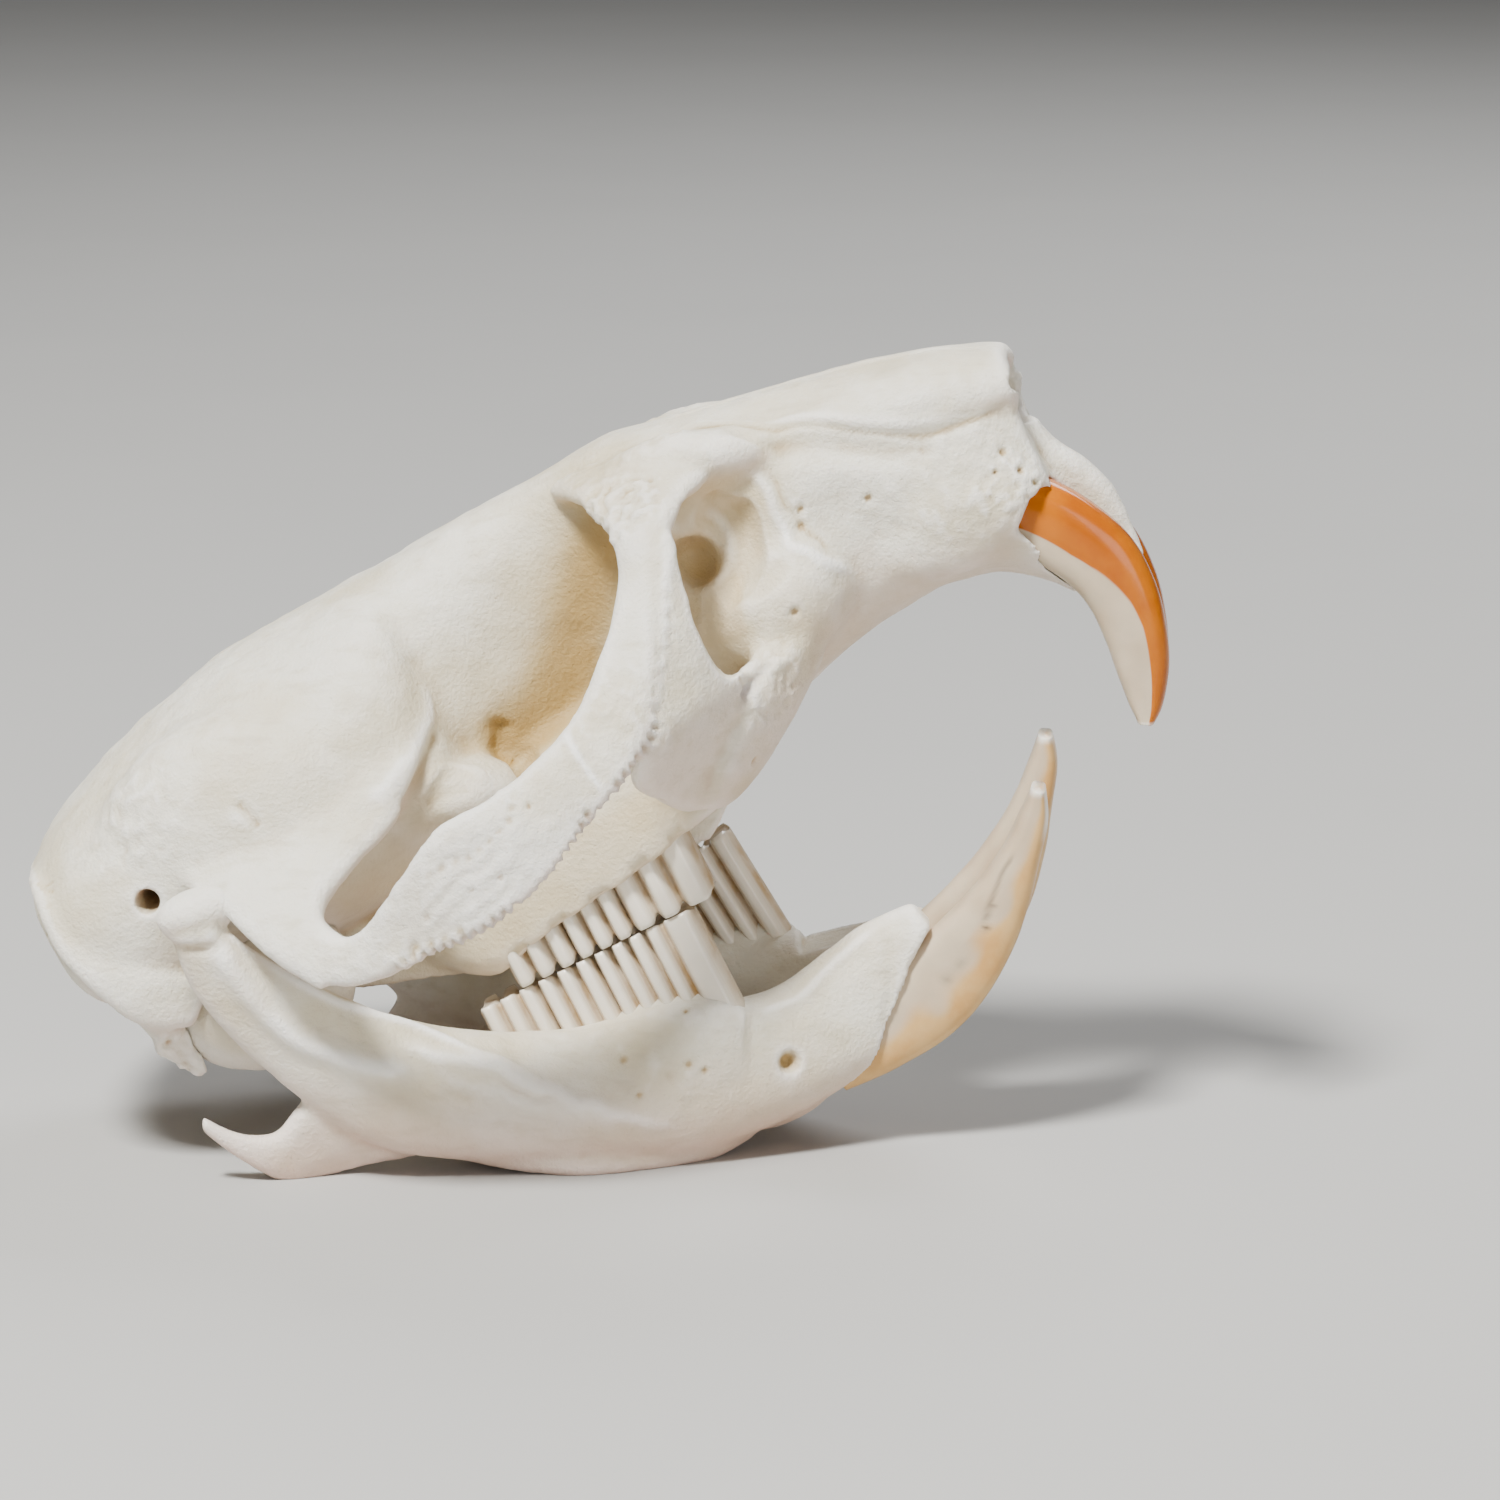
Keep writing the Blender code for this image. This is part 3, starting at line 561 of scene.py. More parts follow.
# Gold and brown of the stain tint: partly real staining, partly painted shade in hollows and holes
STAIN_AND_SHADE_GOLD = (0.56, 0.43, 0.21)
STAIN_AND_SHADE_BROWN = (0.40, 0.25, 0.07)
CHEEK_SHADE = (0.63, 0.56, 0.47)
DENTINE_STAIN = (0.44, 0.30, 0.17)
CHIPPED_WHITE = (0.90, 0.86, 0.78)
CRACK_BROWN = (0.10, 0.07, 0.05)
DEEP_ORANGE = (0.40, 0.09, 0.0)
DEEP_AMBER = (0.58, 0.32, 0.10)
# How a stretched noise is turned and scaled
BONE_FIBRES = ((0.0, radians(PITCH), 0.0), (0.25, 1.0, 1.0))
TOOTH_LINES = ((0.0, radians(PITCH), 0.0), (1.0, 1.0, 0.2))
ENAMEL_STREAKS = ((0.0, 0.0, 0.0), (0.18, 1.0, 0.18))
ENAMEL_GRAIN = ((0.0, 0.0, 0.0), (0.3, 1.0, 0.3))


def share_of(colour, share):
    """The colour darkened to a share of itself."""
    return tuple(share * part for part in colour)


def nodes_of(name):
    """An empty material of this name, its nodes and its shader."""
    material = bpy.data.materials.get(name) or bpy.data.materials.new(name)
    material.use_nodes = True
    tree = material.node_tree
    tree.nodes.clear()
    shader = tree.nodes.new("ShaderNodeBsdfPrincipled")
    output = tree.nodes.new("ShaderNodeOutputMaterial")
    tree.links.new(shader.outputs["BSDF"], output.inputs["Surface"])
    return material, tree, shader


def add_place(tree):
    """The place on the piece, in metres."""
    return tree.nodes.new("ShaderNodeTexCoord").outputs["Object"]


def add_noise(tree, size_mm, detail=3.0, rough=0.55, stretch=None):
    """A noise whose lumps are about this many millimetres across."""
    noise = tree.nodes.new("ShaderNodeTexNoise")
    set_numbers(noise, {"Scale": 1.0 / (size_mm * MM), "Detail": detail, "Roughness": rough})
    source = add_place(tree)
    if stretch:
        mapping = tree.nodes.new("ShaderNodeMapping")
        set_numbers(mapping, {"Rotation": stretch[0], "Scale": stretch[1]})
        tree.links.new(source, mapping.inputs["Vector"])
        source = mapping.outputs["Vector"]
    tree.links.new(source, noise.inputs["Vector"])
    return noise.outputs["Fac"]


def set_numbers(node, numbers):
    """Plain numbers for a node's inputs."""
    for key, number in numbers.items():
        node.inputs[key].default_value = number


def add_range(tree, value, from_low, from_high, to_low, to_high):
    """A value moved softly from one range to another."""
    node = tree.nodes.new("ShaderNodeMapRange")
    node.interpolation_type = "SMOOTHSTEP"
    tree.links.new(value, node.inputs["Value"])
    set_numbers(node, {"From Min": from_low, "From Max": from_high, "To Min": to_low, "To Max": to_high})
    return node.outputs["Result"]


def add_mix(tree, factor, first, second, how="MIX"):
    """Two colours mixed; each is a socket or a colour."""
    node = tree.nodes.new("ShaderNodeMix")
    node.data_type = "RGBA"
    node.blend_type = how
    tree.links.new(factor, node.inputs[0])
    for socket, colour in ((node.inputs[6], first), (node.inputs[7], second)):
        if isinstance(colour, tuple):
            socket.default_value = (*colour[:3], 1.0)
        else:
            tree.links.new(colour, socket)
    return node.outputs[2]


def add_tint(tree, name):
    """One of the carved surface's tints."""
    node = tree.nodes.new("ShaderNodeAttribute")
    node.attribute_name = name
    return node.outputs["Fac"]


def add_math(tree, how, first, second):
    """Two values joined by a sum; each is a socket or a number."""
    node = tree.nodes.new("ShaderNodeMath")
    node.operation = how
    for socket, value in ((node.inputs[0], first), (node.inputs[1], second)):
        if isinstance(value, (int, float)):
            socket.default_value = value
        else:
            tree.links.new(value, socket)
    return node.outputs[0]


def add_bump(tree, shader, height, strength, distance_mm):
    """Fine relief in the light on the piece."""
    bump = tree.nodes.new("ShaderNodeBump")
    set_numbers(bump, {"Strength": strength, "Distance": distance_mm * MM})
    tree.links.new(height, bump.inputs["Height"])
    tree.links.new(bump.outputs["Normal"], shader.inputs["Normal"])


def bone_finish(name, ivory, cream, tan):
    """Cleaned bone: ivory with creamy clouds, tan in the hollows (partly staining, partly painted shade),
    darker painted shade deep in them, paler on ridges as a painted highlight, a painted pinkish shade
    underneath, finely pored.
    """
    material, tree, shader = nodes_of(name)
    clouds = add_range(tree, add_noise(tree, 7.0, 4.0), 0.35, 0.7, 0.05, 0.95)
    colour = add_mix(tree, clouds, ivory, cream)
    fibres = add_range(tree, add_noise(tree, 0.9, 3.0, 0.6, BONE_FIBRES), 0.48, 0.75, 0.0, 0.5)
    colour = add_mix(tree, fibres, colour, share_of(cream, 0.84))
    # Painted light from the hollow depth: tan in hollows, partly real staining and partly painted shade,
    # darker painted shade deep in them, and a painted highlight where the surface stands out
    cavity = add_tint(tree, "cavity")
    for numbers, paint in (((0.05, 0.75, 0.0, 0.8), tan),
                           ((0.6, 1.0, 0.0, 0.6), DEEP_HOLLOW_SHADE),
                           ((-0.08, -0.5, 0.0, 0.6), CONVEX_HIGHLIGHT)):
        colour = add_mix(tree, add_range(tree, cavity, *numbers), colour, paint)
    # Grey is the bone's own tone; the bright tint is a painted highlight on ridges; the pink tint is a
    # painted shade on undersides
    for tint, paint in (("grey", BONE_GREY), ("bright", RIDGE_HIGHLIGHT), ("pink", UNDERSIDE_SHADE_PINK)):
        colour = add_mix(tree, add_tint(tree, tint), colour, paint)
    # The stain tint: partly real staining, partly painted shade in hollows and holes
    mottle = add_range(tree, add_noise(tree, 5.0, 3.0), 0.3, 0.7, 0.86, 1.0)
    stain = add_tint(tree, "stain")
    colour = add_mix(tree, add_math(tree, "MULTIPLY", stain, mottle), colour, STAIN_AND_SHADE_GOLD)
    colour = add_mix(tree, add_range(tree, stain, 0.45, 1.0, 0.0, 0.85), colour, STAIN_AND_SHADE_BROWN)
    tree.links.new(colour, shader.inputs["Base Color"])
    rough = add_range(tree, add_noise(tree, 1.6, 4.0), 0.3, 0.75, 0.42, 0.62)
    tree.links.new(rough, shader.inputs["Roughness"])
    pores = tree.nodes.new("ShaderNodeTexVoronoi")
    set_numbers(pores, {"Scale": 1.0 / (0.55 * MM)})
    tree.links.new(add_place(tree), pores.inputs["Vector"])
    pits = add_range(tree, pores.outputs["Distance"], 0.02, 0.16, 0.0, 1.0)
    fine = add_noise(tree, 0.28, 5.0, 0.6)
    add_bump(tree, shader, add_math(tree, "ADD", fine, add_math(tree, "MULTIPLY", pits, 0.22)), 0.8, 0.15)
    set_numbers(shader, {"Subsurface Weight": 0.12, "Subsurface Radius": (1.0, 0.75, 0.5),
                         "Subsurface Scale": 1.2 * MM, "Specular IOR Level": 0.42})
    return material


def cheek_finish(name, pearl, groove):
    """Cheek teeth: pearly enamel on the ridges, tan and yellow cement in the grooves."""
    material, tree, shader = nodes_of(name)
    clouds = add_range(tree, add_noise(tree, 1.6, 4.0), 0.3, 0.75, 0.0, 0.6)
    colour = add_mix(tree, clouds, pearl, share_of(pearl, 0.93))
    colour = add_mix(tree, add_tint(tree, "grey"), colour, CHEEK_SHADE)
    spots = add_range(tree, add_noise(tree, 1.2, 3.0), 0.35, 0.65, 0.65, 1.0)
    stain = add_tint(tree, "stain")
    colour = add_mix(tree, add_math(tree, "MULTIPLY", stain, spots), colour, groove)
    tree.links.new(colour, shader.inputs["Base Color"])
    tree.links.new(add_range(tree, stain, 0.1, 0.8, 0.26, 0.6), shader.inputs["Roughness"])
    add_bump(tree, shader, add_noise(tree, 0.35, 4.0, 0.55, TOOTH_LINES), 0.3, 0.04)
    set_numbers(shader, {"Subsurface Weight": 0.15, "Subsurface Radius": (1.0, 0.7, 0.5),
                         "Subsurface Scale": 0.8 * MM, "Coat Weight": 0.25, "Coat Roughness": 0.2})
    return material


def front_tooth_finish(name, enamel, deeper, dentine, gloss):
    """A front tooth: coloured enamel on the front face and pale dentine behind it."""
    material, tree, shader = nodes_of(name)
    clouds = add_range(tree, add_noise(tree, 2.6, 4.0), 0.3, 0.7, 0.0, 1.0)
    front = add_mix(tree, clouds, enamel, deeper)
    streaks = add_range(tree, add_noise(tree, 0.8, 3.0, 0.5, ENAMEL_STREAKS), 0.5, 0.8, 0.0, 0.35)
    front = add_mix(tree, streaks, front, share_of(deeper, 0.8))
    back_clouds = add_range(tree, add_noise(tree, 1.8, 4.0), 0.3, 0.7, 0.0, 0.7)
    back = add_mix(tree, back_clouds, dentine, share_of(dentine, 0.86))
    back = add_mix(tree, add_tint(tree, "stain"), back, DENTINE_STAIN)
    cover = add_tint(tree, "enamel")
    colour = add_mix(tree, add_range(tree, cover, 0.42, 0.58, 0.0, 1.0), back, front)
    colour = add_mix(tree, add_tint(tree, "bright"), colour, CHIPPED_WHITE)
    colour = add_mix(tree, add_tint(tree, "grey"), colour, CRACK_BROWN)
    tree.links.new(colour, shader.inputs["Base Color"])
    tree.links.new(add_range(tree, cover, 0.4, 0.6, 0.48, gloss), shader.inputs["Roughness"])
    add_bump(tree, shader, add_noise(tree, 0.5, 4.0, 0.5, ENAMEL_GRAIN), 0.3, 0.035)
    set_numbers(shader, {"Subsurface Weight": 0.12, "Subsurface Radius": (1.0, 0.5, 0.25),
                         "Subsurface Scale": 0.7 * MM, "Specular IOR Level": 0.28,
                         "Coat Weight": 0.1, "Coat Roughness": 0.08})
    return material


# Cranium
VAULT = (
    (0.6, 7.0, 4.6, 1.0, -2.0), (1.4, 9.6, 6.0, 0.6, -3.8), (3.2, 11.2, 7.4, 0.3, -5.0),
    (6.6, 11.9, 8.8, 0.6, -6.0), (11.0, 12.0, 10.1, 1.0, -6.2), (16.0, 11.8, 11.2, 1.8, -6.2),
    (21.0, 11.1, 11.6, 2.6, -6.0), (24.2, 10.3, 11.8, 3.4, -5.2), (26.0, 9.2, 11.8, 3.8, -4.2),
    (27.0, 7.4, 11.7, 4.2, -3.0), (27.6, 4.6, 11.0, 4.6, -1.0))
BROW = (
    (24.0, 6.5, 11.6, 5.0, -4.6), (29.0, 5.4, 12.0, 6.0, -4.4), (33.0, 3.9, 12.3, 7.0, -4.6),
    (36.5, 3.2, 12.4, 8.0, -5.0), (39.5, 3.9, 12.6, 9.0, -5.6), (42.5, 5.2, 12.7, 9.0, -6.4),
    (46.0, 5.4, 12.1, 6.0, -5.8))
SNOUT = (
    (40.0, 4.6, 12.1, 4.0, -7.6), (43.0, 5.2, 12.5, 4.0, -6.8), (46.5, 5.6, 12.0, 4.0, -5.7),
    (50.5, 5.9, 11.2, 3.6, -4.5), (54.0, 5.9, 10.6, 3.0, -4.0), (57.5, 5.7, 10.0, 2.6, -4.0),
    (60.0, 5.5, 9.3, 2.0, -4.8), (62.0, 5.1, 8.8, 1.4, -6.6), (63.4, 4.7, 8.1, 0.8, -8.2),
    (64.8, 4.0, 7.3, 0.4, -8.2))
PALATE = (
    (17.8, 3.6, 0.0, -6.0, -9.0), (19.8, 5.2, 0.0, -7.0, -11.0), (22.4, 6.7, 0.0, -8.4, -12.6),
    (25.2, 7.2, 0.0, -9.0, -13.2), (28.0, 7.5, 0.0, -8.6, -12.8), (32.0, 7.6, 0.0, -8.2, -12.4),
    (36.0, 7.5, 0.0, -7.6, -11.6), (38.2, 6.6, 0.0, -6.8, -10.6), (41.5, 5.0, 0.0, -5.0, -7.6))
SOCKET_EDGE = (
    (18.0, -12.6), (20.8, -12.7), (23.6, -12.2), (26.4, -11.2), (29.3, -10.7), (32.1, -10.3),
    (34.3, -9.9), (36.6, -9.3), (39.4, -9.0), (39.4, -20.0), (18.0, -20.0))
NOSE_EDGE = (
    (61.8, -2.2), (62.9, -1.2), (64.2, -0.7), (65.2, -0.7), (66.2, -1.2), (72.0, -3.0), (72.0, -12.0),
    (63.7, -9.0), (63.3, -7.6), (62.6, -5.9), (63.9, -6.6), (63.0, -4.6))
NOSE_ROOF = (
    (52.0, 5.2, 10.4, 7.4, 5.4), (56.0, 5.4, 10.0, 7.0, 5.0), (60.5, 5.2, 9.1, 6.4, 4.6),
    (63.4, 4.9, 8.1, 5.6, 4.0), (65.6, 4.4, 7.2, 5.0, 4.0))
SEPTUM = (
    (65.1, 0.0, 4.2, 61.0, 0.0, 3.2, 2.2), (65.7, 0.0, 1.2, 61.8, 0.0, 0.4, 3.0),
    (66.8, 0.0, -0.7, 62.8, 0.0, -2.0, 2.6), (67.5, 0.0, -2.6, 63.8, 0.0, -3.6, 2.0),
    (67.7, 0.0, -5.2, 64.6, 0.0, -5.6, 1.4), (67.6, 0.0, -7.6, 65.4, 0.0, -7.8, 0.9))
SKULL_BASE = (
    (4.0, 3.6, 0.0, -3.0, -5.8), (8.0, 4.6, 0.0, -4.0, -7.2), (16.0, 3.6, 0.0, -5.0, -7.6),
    (23.0, 3.2, 0.0, -6.0, -8.6))
NUCHAL_CREST = (
    (0.6, 0.5, 5.2, 1.9, 0.5, 2.4, 1.3), (1.3, 5.0, 5.6, 2.6, 5.2, 2.2, 1.3),
    (1.8, 8.8, 4.8, 3.8, 8.4, 1.4, 1.4), (1.8, 10.8, 1.4, 5.0, 9.8, -0.2, 1.6),
    (2.7, 11.2, -2.0, 6.8, 10.6, -1.8, 1.8), (4.1, 10.8, -5.0, 8.4, 10.4, -3.2, 1.8),
    (6.6, 10.2, -6.4, 9.6, 10.0, -3.8, 1.8))
PAROCCIPITAL = (
    (5.4, 10.2, -3.2, 1.8, 1.6), (5.0, 9.2, -5.8, 1.3, 1.3), (5.0, 8.6, -8.0, 0.9, 0.9),
    (5.4, 8.4, -9.6, 0.5, 0.5))
TEMPLE = (
    (9.4, 9.6, 3.0, 26.0, 8.4, 3.6, 3.4), (10.3, 11.8, 1.9, 25.6, 10.2, 1.4, 2.4),
    (11.3, 13.4, 0.8, 23.5, 11.8, -0.6, 2.0), (12.5, 15.1, -0.8, 20.6, 13.5, -1.6, 1.9),
    (14.1, 16.9, -3.7, 17.9, 15.6, -2.8, 1.8), (16.2, 18.1, -6.8, 19.0, 17.5, -4.4, 1.6))
ARCH = (
    (15.6, 17.4, -5.6, 17.4, 16.8, -3.4, 1.5), (18.4, 18.6, -7.1, 19.6, 18.1, -4.3, 1.3),
    (22.8, 19.5, -7.2, 23.2, 18.9, -2.5, 1.1), (27.0, 19.8, -7.1, 26.8, 19.1, -0.7, 1.1),
    (30.8, 19.3, -6.1, 30.0, 18.6, -0.6, 1.2), (34.8, 17.9, -4.3, 33.4, 17.2, 0.0, 1.4),
    (38.2, 16.7, -2.7, 36.4, 15.6, 1.3, 1.6), (40.8, 15.2, 0.4, 39.2, 13.4, 3.7, 1.7),
    (42.7, 13.2, 3.9, 41.2, 11.2, 6.3, 1.7), (44.6, 11.0, 7.2, 41.4, 9.6, 8.6, 1.7),
    (48.0, 6.9, 8.9, 40.2, 7.2, 10.8, 1.9), (51.4, 3.8, 9.4, 38.4, 3.6, 11.6, 2.2))
PLATE = (
    (45.0, 10.9, 7.4, 43.4, 11.8, 6.8, 1.2), (44.6, 11.6, 5.4, 42.3, 12.8, 4.8, 1.2),
    (44.2, 12.0, 2.9, 41.2, 14.0, 2.2, 1.2), (44.2, 11.4, 0.2, 39.8, 15.3, -0.2, 1.3),
    (44.8, 9.8, -1.8, 38.6, 16.1, -2.2, 1.6), (44.9, 7.8, -3.4, 37.0, 15.0, -4.0, 2.0),
    (43.2, 6.6, -5.2, 37.0, 12.4, -5.4, 2.4), (40.6, 6.2, -7.2, 37.6, 9.2, -7.4, 2.8))
FAN = (
    (44.6, 9.6, -1.9, 50.5, 4.6, -1.4, 2.0), (43.6, 10.0, -3.0, 48.4, 4.2, -3.4, 2.8),
    (42.0, 10.4, -4.6, 45.6, 3.9, -5.2, 3.0), (40.4, 10.2, -6.2, 43.0, 3.7, -6.8, 3.0),
    (38.6, 9.0, -8.0, 40.6, 3.7, -8.0, 2.6))
PTERYGOID = (
    (13.0, 4.4, -5.0, 13.2, 4.2, -9.0, 1.0), (17.0, 3.9, -5.0, 17.6, 3.7, -10.6, 0.9),
    (21.0, 3.6, -5.0, 21.6, 3.4, -12.0, 1.0), (25.0, 3.4, -7.0, 25.0, 3.4, -12.0, 1.0))
MUZZLE_WAY = (
    (50.0, 9.0, 5.0, 4.0, 2.2), (46.0, 8.4, 4.6, 3.8, 2.3), (42.0, 7.8, 4.6, 3.0, 2.2),
    (38.0, 8.2, 4.6, 3.4, 2.4), (35.0, 9.0, 4.6, 3.4, 2.4))
FORAMEN = (
    (47.0, 8.2, 8.2, 1.0, 3.0), (47.0, 8.4, 7.0, 2.2, 3.8), (47.0, 8.6, 5.6, 2.7, 4.2),
    (46.4, 9.2, 4.2, 2.5, 4.4), (45.1, 10.2, 2.6, 1.35, 4.2), (44.6, 10.6, 1.0, 0.85, 4.2),
    (44.4, 10.6, -0.6, 0.65, 3.8), (44.4, 10.6, -1.7, 0.4, 3.4))
BULLA = ((10.6, 7.3, -6.6), (5.9, 4.1, 4.6), 14)
UPPER_INCISOR = ((59.4, 0.8, 0.4, 2.2), (62.0, 0.8, -1.4, 2.35), (63.9, 0.8, -3.7, 2.3),
                 (65.1, 0.75, -6.2, 2.2), (65.4, 0.6, -8.6, 2.0), (65.1, 0.45, -11.0, 1.8),
                 (64.5, 0.3, -13.2, 1.5), (63.8, 0.2, -15.0, 1.0), (63.3, 0.2, -16.0, 0.5))
LOWER_INCISOR = ((13.2, 0.5, 6.0, 2.3), (16.4, 0.4, 8.0, 2.7), (19.3, 0.3, 10.1, 2.75),
                 (21.75, 0.25, 13.0, 2.3), (23.4, 0.2, 15.8, 1.7), (24.55, 0.2, 18.5, 1.15),
                 (25.25, 0.2, 20.7, 0.85), (25.5, 0.2, 22.4, 0.42))
UPPER_WIDE = 3.2
LOWER_WIDE = 3.1
TOOTH_SQUARE = 3.0
TOOTH_ROOM = 0.02
# Round forms of the right side: middle, radii and turn in degrees
SWELLINGS = (
    ((58.2, 4.0, 0.4), (6.5, 1.9, 3.6), (0, 6, 0)),
    ((46.6, 4.4, 9.5), (5.6, 3.2, 1.9), (20, 14, 0)),
    ((48.2, 4.2, 0.2), (5.0, 3.7, 3.7), (0, -20, 0)),
    ((26.4, 6.0, -1.6), (3.6, 3.3, 2.2), (0, 16, 0)),
    ((15.0, 8.2, 3.0), (9.0, 4.6, 6.4), (0, 10, 0)))
NECK_KNOB = ((4.2, 3.3, -3.6), (2.1, 1.4, 2.0), (-20, 0, -20))
NECK_HOLE = ((0.2, 0, -1.6), (5.5, 3.1, 2.6), (0, 12, 0))
NOSE_HOLE = ((64.6, 0, 4.6), (6.5, 3.2, 1.9), (0, 14, 0))
NOSE_NOTCH = ((66.2, 0, 5.2), (1.3, 7.0, 0.8), (0, 10, 0))
PALATE_SLIT = ((48.5, 1.0, -5.6), (5.0, 0.6, 1.3), (0, 14, 0))
MUZZLE_HOLE = ((44.4, 4.6, 4.4), (1.55, 2.2, 1.55), (0, 12, 0))
EYE_HOLLOW = ((40.0, 6.6, 3.4), (4.4, 3.3, 6.4), (0, 26, 0))
EAR_HOLE = ((8.2, 11.6, 1.6), (0.75, 3.2, 0.75), (0, 0, 0))
NERVE_HOLE = ((30.8, 5.6, -0.6), (1.0, 1.5, 2.4), (0, 24, 0))
PALATE_HOLLOW = (
    (19.0, 2.4, -8.2, -14.0, -18.0), (37.0, 2.5, -8.8, -14.0, -18.0), (39.5, 1.6, -9.2, -14.0, -18.0))
SOCKET_NEAR, SOCKET_FAR = 2.9, 12.0
NOSE_NEAR, NOSE_FAR = 3.96, 8.0
BULLA_ROOM = 0.12
# Grain in millimetres and rounds of smoothing of each skin
BODY_SKIN = (0.34, 10)
WHOLE_SKIN = (0.28, 3)
JAW_SKIN = (0.26, 4)
LAST_ROUNDS = 2


def sided(rows, side, columns=(1,)):
    """Rows of sizes with their y numbers on one side of the skull."""
    out = []
    for row in rows:
        row = list(row)
        for c in columns:
            row[c] *= side
        out.append(tuple(row))
    return out


def tooth_rows(rows, wide, more=0.0):
    """Bar rows of a front tooth of the right side, with room round it if more is given."""
    return [(x, -y - wide / 2, z, deep + more, wide / 2 + more) for x, y, z, deep in rows]


def tooth_room(rows, wide):
    """The socket of a front tooth of the right side."""
    return limb(tooth_rows(rows, wide, TOOTH_ROOM), TOOTH_SQUARE, 40, 10)


def side_ball(side, at, radii, turn):
    """An ellipsoid of the right side's numbers on the given side."""
    return ball((at[0], side * at[1], at[2]), radii, (side * turn[0], turn[1], side * turn[2]))


# Marks of the cranium on the right side: place and size, in the order in which they are carved
MUZZLE_PITS = (
    ((63.6, -4.9, 0.8), 0.2), ((63.2, -4.9, 2.2), 0.2), ((64.0, -4.6, -0.2), 0.16),
    ((55.2, -5.8, 3.2), 0.2), ((51.4, -5.9, 4.5), 0.22), ((51.0, -5.9, 3.6), 0.22),
    ((48.4, -5.4, 0.0), 0.26), ((52.2, -5.2, 7.8), 0.15), ((62.2, -5.0, 1.4), 0.15))
# Crusty bone: middle, radii, size of the lumps, height and seed
CRUSTS = (
    ((9.4, -11.2, 6.0), (3.6, 2.6, 2.8), 0.8, 0.12, 26),
    ((42.3, -9.0, 9.6), (2.6, 2.4, 2.0), 0.6, 0.30, 11),
    ((43.5, -5.0, 11.8), (4.5, 2.4, 1.2), 0.6, 0.07, 13),
    ((5.2, -9.4, -8.2), (1.8, 1.6, 2.6), 0.9, 0.38, 15),
    ((27.0, -20.0, -4.5), (12.0, 2.0, 3.8), 0.7, 0.05, 17),
    ((38.5, -16.5, -1.0), (3.5, 2.5, 5.0), 0.6, 0.05, 18),
    ((62.8, -5.0, 0.6), (2.0, 2.0, 1.6), 0.4, 0.12, 19))
# Unevenness all over: size, height and seed
SKULL_GRAIN = ((6.0, 0.12, 41), (2.2, 0.08, 42), (0.8, 0.034, 43))
JAW_GRAIN = ((5.0, 0.12, 44), (2.0, 0.05, 45), (0.8, 0.022, 46))
# Tan patches in hollows and holes, partly staining and partly painted shade: middle, radii and strength
SKULL_STAIN_AND_SHADE = (
    ((46.8, -5.6, 5.6), (3.4, 3.4, 3.6), 0.5), ((44.2, -5.4, 2.4), (2.6, 4.2, 5.2), 0.62),
    ((47.4, -6.8, 0.8), (2.8, 2.0, 3.0), 0.3), ((43.8, -3.0, 4.4), (2.0, 1.8, 2.0), 0.62),
    ((19.6, -9.6, -3.0), (2.6, 3.0, 2.6), 0.35), ((31.0, -7.4, -8.4), (9.0, 2.4, 3.0), 0.52),
    ((23.5, -6.6, -10.2), (4.5, 2.6, 3.2), 0.46), ((20.0, -3.4, -9.0), (6.0, 3.0, 3.6), 0.4))
# How strong the painted pinkish shade on downward faces is
UNDERSIDE_SHADE_SHARE = 0.36


